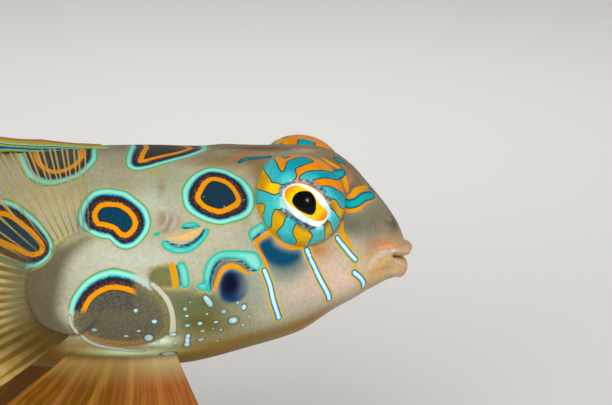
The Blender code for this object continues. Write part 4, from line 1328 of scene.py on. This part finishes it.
def pairedLay(plan, sign):
    def lay(across, along):
        back, level = (smoothCurve(table, across) for table in plan["roots"])
        root = np.column_stack([-back, sign * flankReach(back, level), level])
        held = sign > 0 and "heldAngles" in plan
        angle = np.radians(smoothCurve(plan["heldAngles" if held else "angles"], across))
        flare = np.radians(smoothCurve(plan["flare"], across))
        way = np.column_stack([np.cos(angle) * np.cos(flare), sign * np.sin(flare),
                               np.sin(angle) * np.cos(flare)])
        bow = np.zeros_like(way)
        bow[:, 1] = sign * plan["cup"] * np.sin(math.pi * along)
        return root, way, smoothCurve(plan["lengths"], across), bow
    return lay


def middleLay(plan):
    outline = fish["back"] if plan["edge"] > 0 else fish["belly"]

    def lay(across, along):
        back = smoothCurve(plan["roots"], across)
        level = plan["edge"] * smoothCurve(outline, back) - plan["lower"]
        root = np.column_stack([-back, 0 * back, level])
        lean = np.radians(smoothCurve(plan["leans"], across))
        way = np.column_stack([-np.sin(lean), 0 * lean, plan["edge"] * np.cos(lean)])
        bow = np.zeros_like(way)
        bow[:, 1] = plan["wave"] * np.sin(2.4 * across + 0.4) * along ** 2
        return root, way, smoothCurve(plan["lengths"], across), bow
    return lay


def tailLay(plan):
    def lay(across, along):
        spread = 1 - 2 * across
        root = np.column_stack([np.full(len(across), -fish["standardLength"]), 0 * across,
                                plan["halfRoot"] * spread])
        angle = math.radians(plan["halfSpread"]) * spread
        way = np.column_stack([-np.cos(angle), 0 * angle, np.sin(angle)])
        length = (fish["totalLength"] - fish["standardLength"]) * (1 - 0.14 * np.abs(spread) ** 2.4)
        bow = np.zeros_like(way)
        bow[:, 1] = plan["wave"] * np.sin(math.pi * across) * along ** 2
        return root, way, length, bow
    return lay


# Fin sheets: grid columns to a ray, thickness of the web, the ridges and the root in millimetres
finSheet = {
    "perRay": 8,
    "web": 0.05,
    "ridge": 0.11,
    "root": 0.25,
}


def makeFin(name, plan, lay):
    # A grid drawn out into a fan, with its rays as ridges, then given its thickness
    columns = (plan["rays"] - 1) * finSheet["perRay"]
    bpy.ops.object.select_all(action="DESELECT")
    bpy.ops.mesh.primitive_grid_add(x_subdivisions=columns, y_subdivisions=plan["rows"], size=1)
    fin = bpy.context.active_object
    fin.name = fin.data.name = name
    flat = readPoints(fin)
    across, along = flat[:, 0] + 0.5, flat[:, 1] + 0.5
    ray = across * (plan["rays"] - 1)
    offRay = np.abs(ray - np.rint(ray)) * 2
    root, way, length, bow = lay(across, along)
    length = length * (1 - plan["scallop"] * (1 - (1 - offRay) ** 2))
    reach = -plan["sink"] + (length + plan["sink"]) * along
    writePoints(fin, root + way * reach[:, None] + bow)
    giveAttribute(fin, "rayPlace", ray + 0.5)
    giveAttribute(fin, "rayReach", reach)
    giveAttribute(fin, "rayShare", np.clip(reach / length, 0, 1))
    giveAttribute(fin, "fanPlace", across)
    split = np.abs(offRay - 0.42 * ramp(0.35, 0.75, along))
    thick = finSheet["web"] + finSheet["ridge"] * np.exp(-(split / 0.2) ** 2) * (1.25 - 0.9 * along)
    thick += finSheet["root"] * np.exp(-(np.maximum(reach, 0) / 0.7) ** 2)
    group = fin.vertex_groups.new(name="thickness")
    most = thick.max()
    for index, value in enumerate(thick / most):
        group.add([index], float(value), "REPLACE")
    solid = fin.modifiers.new("thickness", "SOLIDIFY")
    solid.thickness = most
    solid.offset = 0
    solid.vertex_group = group.name
    solid.use_even_offset = False
    bpy.ops.object.modifier_apply(modifier=solid.name)
    turnNormalsOut()
    fin.vertex_groups.clear()
    return fin


def rayShare(finish, wide=0.17, sharp=0.07):
    # 1 on a ray and 0 on the web, where each ray parts in two towards its tip
    place = finish.value("rayPlace")
    off = finish.math("ABSOLUTE", finish.math("SUBTRACT", finish.math("FRACT", place), 0.5))
    share = finish.value("rayShare")
    parting = finish.times(finish.step(share, 0.3, 0.75), 0.2)
    off = finish.math("ABSOLUTE", finish.math("SUBTRACT", off, parting))
    return finish.step(off, wide, sharp)


def pectoralFinish():
    finish = Finish("amberFan", 0.4, 0.15)
    lower = finish.step(finish.value("fanPlace"), 0.42, 0.62)
    thin = rayShare(finish, 0.12, 0.05)
    broad = rayShare(finish, 0.34, 0.16)
    thin = finish.times(thin, finish.math("SUBTRACT", 1.0, lower))
    onRay = finish.plus(thin, finish.times(broad, lower))
    streak = finish.noise(1100, 4, 0.65)
    web, _ = finish.ramp(streak, [(0.3, (0.11, 0.07, 0.010)), (0.7, (0.24, 0.17, 0.035))])
    rays, _ = finish.ramp(streak, [
        (0.3, (0.42, 0.29, 0.05)), (0.5, (0.56, 0.44, 0.12)), (0.7, (0.62, 0.56, 0.28))])
    rays = finish.mix(lower, (0.40, 0.295, 0.095), rays)
    tone = finish.mix(onRay, web, rays)
    reach = finish.value("rayReach")
    # Painted shade: the fin darkens towards its root, in step with the painted shade on the body there
    root = finish.times(finish.step(reach, 1.9, 0.1), 0.94)
    tone = finish.mix(root, tone, (0.17, 0.145, 0.065))
    lowest = finish.step(finish.value("fanPlace"), 0.74, 0.96)
    tone = finish.mix(finish.times(lowest, 0.5), tone, (0.20, 0.09, 0.008))
    lowest = finish.times(lowest, finish.step(reach, 4.0, 1.2))
    tone = finish.mix(finish.times(lowest, 0.8), tone, (0.055, 0.026, 0.003))
    finish.colour(tone)
    # The web is clear in the upper half of the fan and olive in the lower half
    webCover = finish.plus(finish.times(lower, 0.84), 0.05)
    rayCover = finish.plus(finish.times(lower, 0.29), 0.56)
    cover = finish.math("MAXIMUM", finish.times(onRay, rayCover), webCover)
    finish.feed(finish.shader.inputs["Alpha"], cover)
    finish.bump(finish.noise(3000, 3), 0.00003, 0.5)
    return finish.material


def pelvicFinish():
    finish = Finish("russetFan", 0.45, 0.15)
    onRay = rayShare(finish)
    place = finish.value("rayPlace")
    reach = finish.value("rayReach")
    drawn = finish.node("ShaderNodeCombineXYZ")
    finish.feed(drawn.inputs[0], place)
    finish.feed(drawn.inputs[1], finish.times(reach, 0.06))
    streak = finish.noise(2.4, 4, 0.6, place=drawn.outputs[0])
    wave = finish.plus(finish.times(place, 3.4), finish.times(streak, 2.2))
    phase = finish.math("FRACT", wave)
    front, _ = finish.ramp(phase, [
        (0.0, (0.27, 0.070, 0.012)), (0.25, (0.33, 0.094, 0.02)), (0.5, (0.24, 0.066, 0.006)),
        (0.78, (0.34, 0.104, 0.024)), (1.0, (0.27, 0.070, 0.012))])
    rear, _ = finish.ramp(phase, [
        (0.0, (0.16, 0.054, 0.003)), (0.3, (0.22, 0.082, 0.006)), (0.6, (0.14, 0.054, 0.002)),
        (1.0, (0.16, 0.054, 0.003))])
    fan = finish.value("fanPlace")
    web = finish.mix(finish.step(fan, 0.2, 0.6), front, rear)
    amber = finish.step(finish.noise(3.4, 3, 0.6, place=drawn.outputs[0]), 0.53, 0.63)
    web = finish.mix(finish.times(amber, 0.75), web, (0.34, 0.15, 0.004))
    tone = finish.mix(finish.times(onRay, 0.3), web, (0.35, 0.14, 0.04))
    root = finish.step(reach, 2.2, 0.0)
    rootTone = finish.mix(finish.step(fan, 0.55, 0.1), (0.33, 0.22, 0.07), (0.45, 0.42, 0.19))
    tone = finish.mix(finish.times(root, 0.85), tone, rootTone)
    finish.colour(tone)
    cover = finish.plus(finish.times(onRay, 0.08), 0.88)
    edge = finish.step(reach, 0.15, 0.7)
    finish.feed(finish.shader.inputs["Alpha"], finish.times(cover, edge))
    finish.bump(phase, 0.00004, 0.4)
    return finish.material


def foldedFinish():
    # The first fin lies low along the back, and its stripes run along it
    finish = Finish("foldedFan", 0.4, 0.15)
    share = finish.value("rayShare")
    wander = finish.wobble(0.16, 420, 2)
    stripes, _ = finish.ramp(finish.plus(share, wander), [
        (0.16, (0.30, 0.22, 0.03)), (0.28, (0.02, 0.10, 0.08)), (0.34, paint["spotBlack"]),
        (0.40, (0.34, 0.30, 0.02)), (0.46, (0.0, 0.30, 0.30)), (0.50, paint["spotBlack"]),
        (0.55, (0.0, 0.18, 0.34)), (0.60, (0.38, 0.36, 0.03)), (0.66, paint["spotBlack"]),
        (0.70, (0.30, 0.58, 0.40)), (0.76, (0.10, 0.28, 0.12)), (0.82, (0.40, 0.26, 0.02)),
        (0.90, (0.30, 0.16, 0.03)), (1.0, (0.24, 0.12, 0.04))])
    finish.colour(stripes)
    finish.bump(finish.noise(3000, 3), 0.00003, 0.5)
    return finish.material


def barredFinish(name, bars, ground):
    # Fins on the midline: wavy bars of cyan and dark between orange ones, across amber rays
    finish = Finish(name, 0.38)
    onRay = rayShare(finish)
    reach = finish.value("rayReach")
    wander = finish.wobble(1.3, 260, 2)
    phase = finish.math("FRACT", finish.times(finish.plus(reach, wander), bars))
    stripe, _ = finish.ramp(phase, [
        (0.00, ground), (0.26, ground), (0.30, paint["navy"]), (0.34, paint["cyan"]),
        (0.44, paint["mint"]), (0.50, paint["cyan"]), (0.54, paint["plum"]), (0.66, paint["plum"]),
        (0.70, paint["orange"]), (0.82, paint["orange"]), (0.88, ground), (1.0, ground)])
    tone = finish.mix(finish.times(onRay, 0.45), stripe, (0.50, 0.33, 0.12))
    finish.colour(tone)
    cover = finish.plus(finish.times(onRay, 0.12), 0.86)
    finish.feed(finish.shader.inputs["Alpha"], cover)
    finish.bump(finish.noise(3000, 3), 0.00003, 0.5)
    return finish.material


amberFan, russetFan, foldedFan = pectoralFinish(), pelvicFinish(), foldedFinish()
barredFan = barredFinish("barredFan", 0.42, (0.36, 0.24, 0.10))
fins = {
    "rightPectoralFin": ("pectoral_fin_right", "pectoral", lambda p: pairedLay(p, -1), amberFan),
    "leftPectoralFin": ("pectoral_fin_left", "pectoral", lambda p: pairedLay(p, 1), amberFan),
    "rightPelvicFin": ("pelvic_fin_right", "pelvic", lambda p: pairedLay(p, -1), russetFan),
    "leftPelvicFin": ("pelvic_fin_left", "pelvic", lambda p: pairedLay(p, 1), russetFan),
    "firstDorsalFin": ("first_dorsal_fin", "firstDorsal", middleLay, foldedFan),
    "secondDorsalFin": ("second_dorsal_fin", "secondDorsal", middleLay, barredFan),
    "analFin": ("anal_fin", "anal", middleLay, barredFan),
    "caudalFin": ("caudal_fin", "caudal", tailLay, barredFan),
}
for name, (node, planName, layer, finish) in fins.items():
    plan = finPlans[planName]
    fin = makeFin(name, plan, layer(plan))
    writePoints(fin, settle(readPoints(fin)))
    fin.data.materials.append(finish)
    fin.data.shade_smooth()
    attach(fin, "root")
    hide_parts(node)
print("fins made")


# Stand

def standFinishes():
    board = Finish("standBoard", 0.55)
    tone, _ = board.ramp(board.noise(300, 5, 0.6), [(0.3, (0.66, 0.65, 0.62)), (0.7, (0.74, 0.73, 0.70))])
    board.colour(tone)
    board.bump(board.noise(2500, 4), 0.00004, 0.4)
    steel = Finish("standSteel", 0.3)
    steel.shader.inputs["Metallic"].default_value = 1.0
    tone, _ = steel.ramp(steel.noise(1500, 3, 0.5, (1, 1, 0.08)), [
        (0.3, (0.42, 0.42, 0.43)), (0.7, (0.6, 0.6, 0.61))])
    steel.colour(tone)
    steel.bump(steel.noise(4000, 2, 0.5, (1, 1, 0.05)), 0.00002, 0.4)
    return board.material, steel.material


board, steel = standFinishes()
for name, finish in (("stand_base", board), ("stand_rod_front", steel), ("stand_rod_rear", steel)):
    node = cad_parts[name]
    node.data.materials.clear()
    node.data.materials.append(finish)
print("stand finished")

# Floor and light
studio = {
    "floorSize": 6.0,
    "floorColour": (0.86, 0.85, 0.83),
    "world": 0.42,
}
# Lamps: place, power in watts, size, spread in degrees, what they look at, and whether they shine in
# glossy surfaces
lamps = {
    "keyLight": ((-0.02, -0.42, 0.20), 1.5, 0.16, 180, (0.018, 0, 0.018), False),
    "fillLight": ((0.34, -0.20, 0.10), 0.3, 0.3, 180, (0.018, 0, 0.018), False),
    "backgroundLight": ((0.02, 0.35, 0.35), 0.014, 0.06, 26, (0.02, 0.12, 0.0), False),
    "catchLight": ((0.10, -0.21, 0.07), 0.03, 0.012, 180, (0.026, 0, 0.021), True),
}


def makeFloor():
    bpy.ops.object.select_all(action="DESELECT")
    bpy.ops.mesh.primitive_plane_add(size=studio["floorSize"], location=(0, 0, 0))
    floor = bpy.context.active_object
    floor.name = "studioFloor"
    finish = Finish("paleFloor", 0.8)
    tone, _ = finish.ramp(finish.noise(3, 2), [(0.3, studio["floorColour"]), (0.7, (0.88, 0.87, 0.85))])
    finish.colour(tone)
    floor.data.materials.append(finish.material)


def makeLight(name, place, power, size, spread, aimAt, shines):
    data = bpy.data.lights.new(name, "AREA")
    data.energy = power
    data.size = size
    data.spread = math.radians(spread)
    lamp = bpy.data.objects.new(name, data)
    bpy.context.scene.collection.objects.link(lamp)
    lamp.visible_glossy = shines
    lamp.location = place
    lamp.rotation_euler = (Vector(place) - Vector(aimAt)).to_track_quat("Z", "Y").to_euler()


makeFloor()
for name, settings in lamps.items():
    makeLight(name, *settings)
world = bpy.data.worlds.new("studioWorld")
bpy.context.scene.world = world
world.use_nodes = True
world.node_tree.nodes["Background"].inputs[0].default_value = (1.0, 0.99, 0.97, 1)
world.node_tree.nodes["Background"].inputs[1].default_value = studio["world"]
print("floor and lights placed")
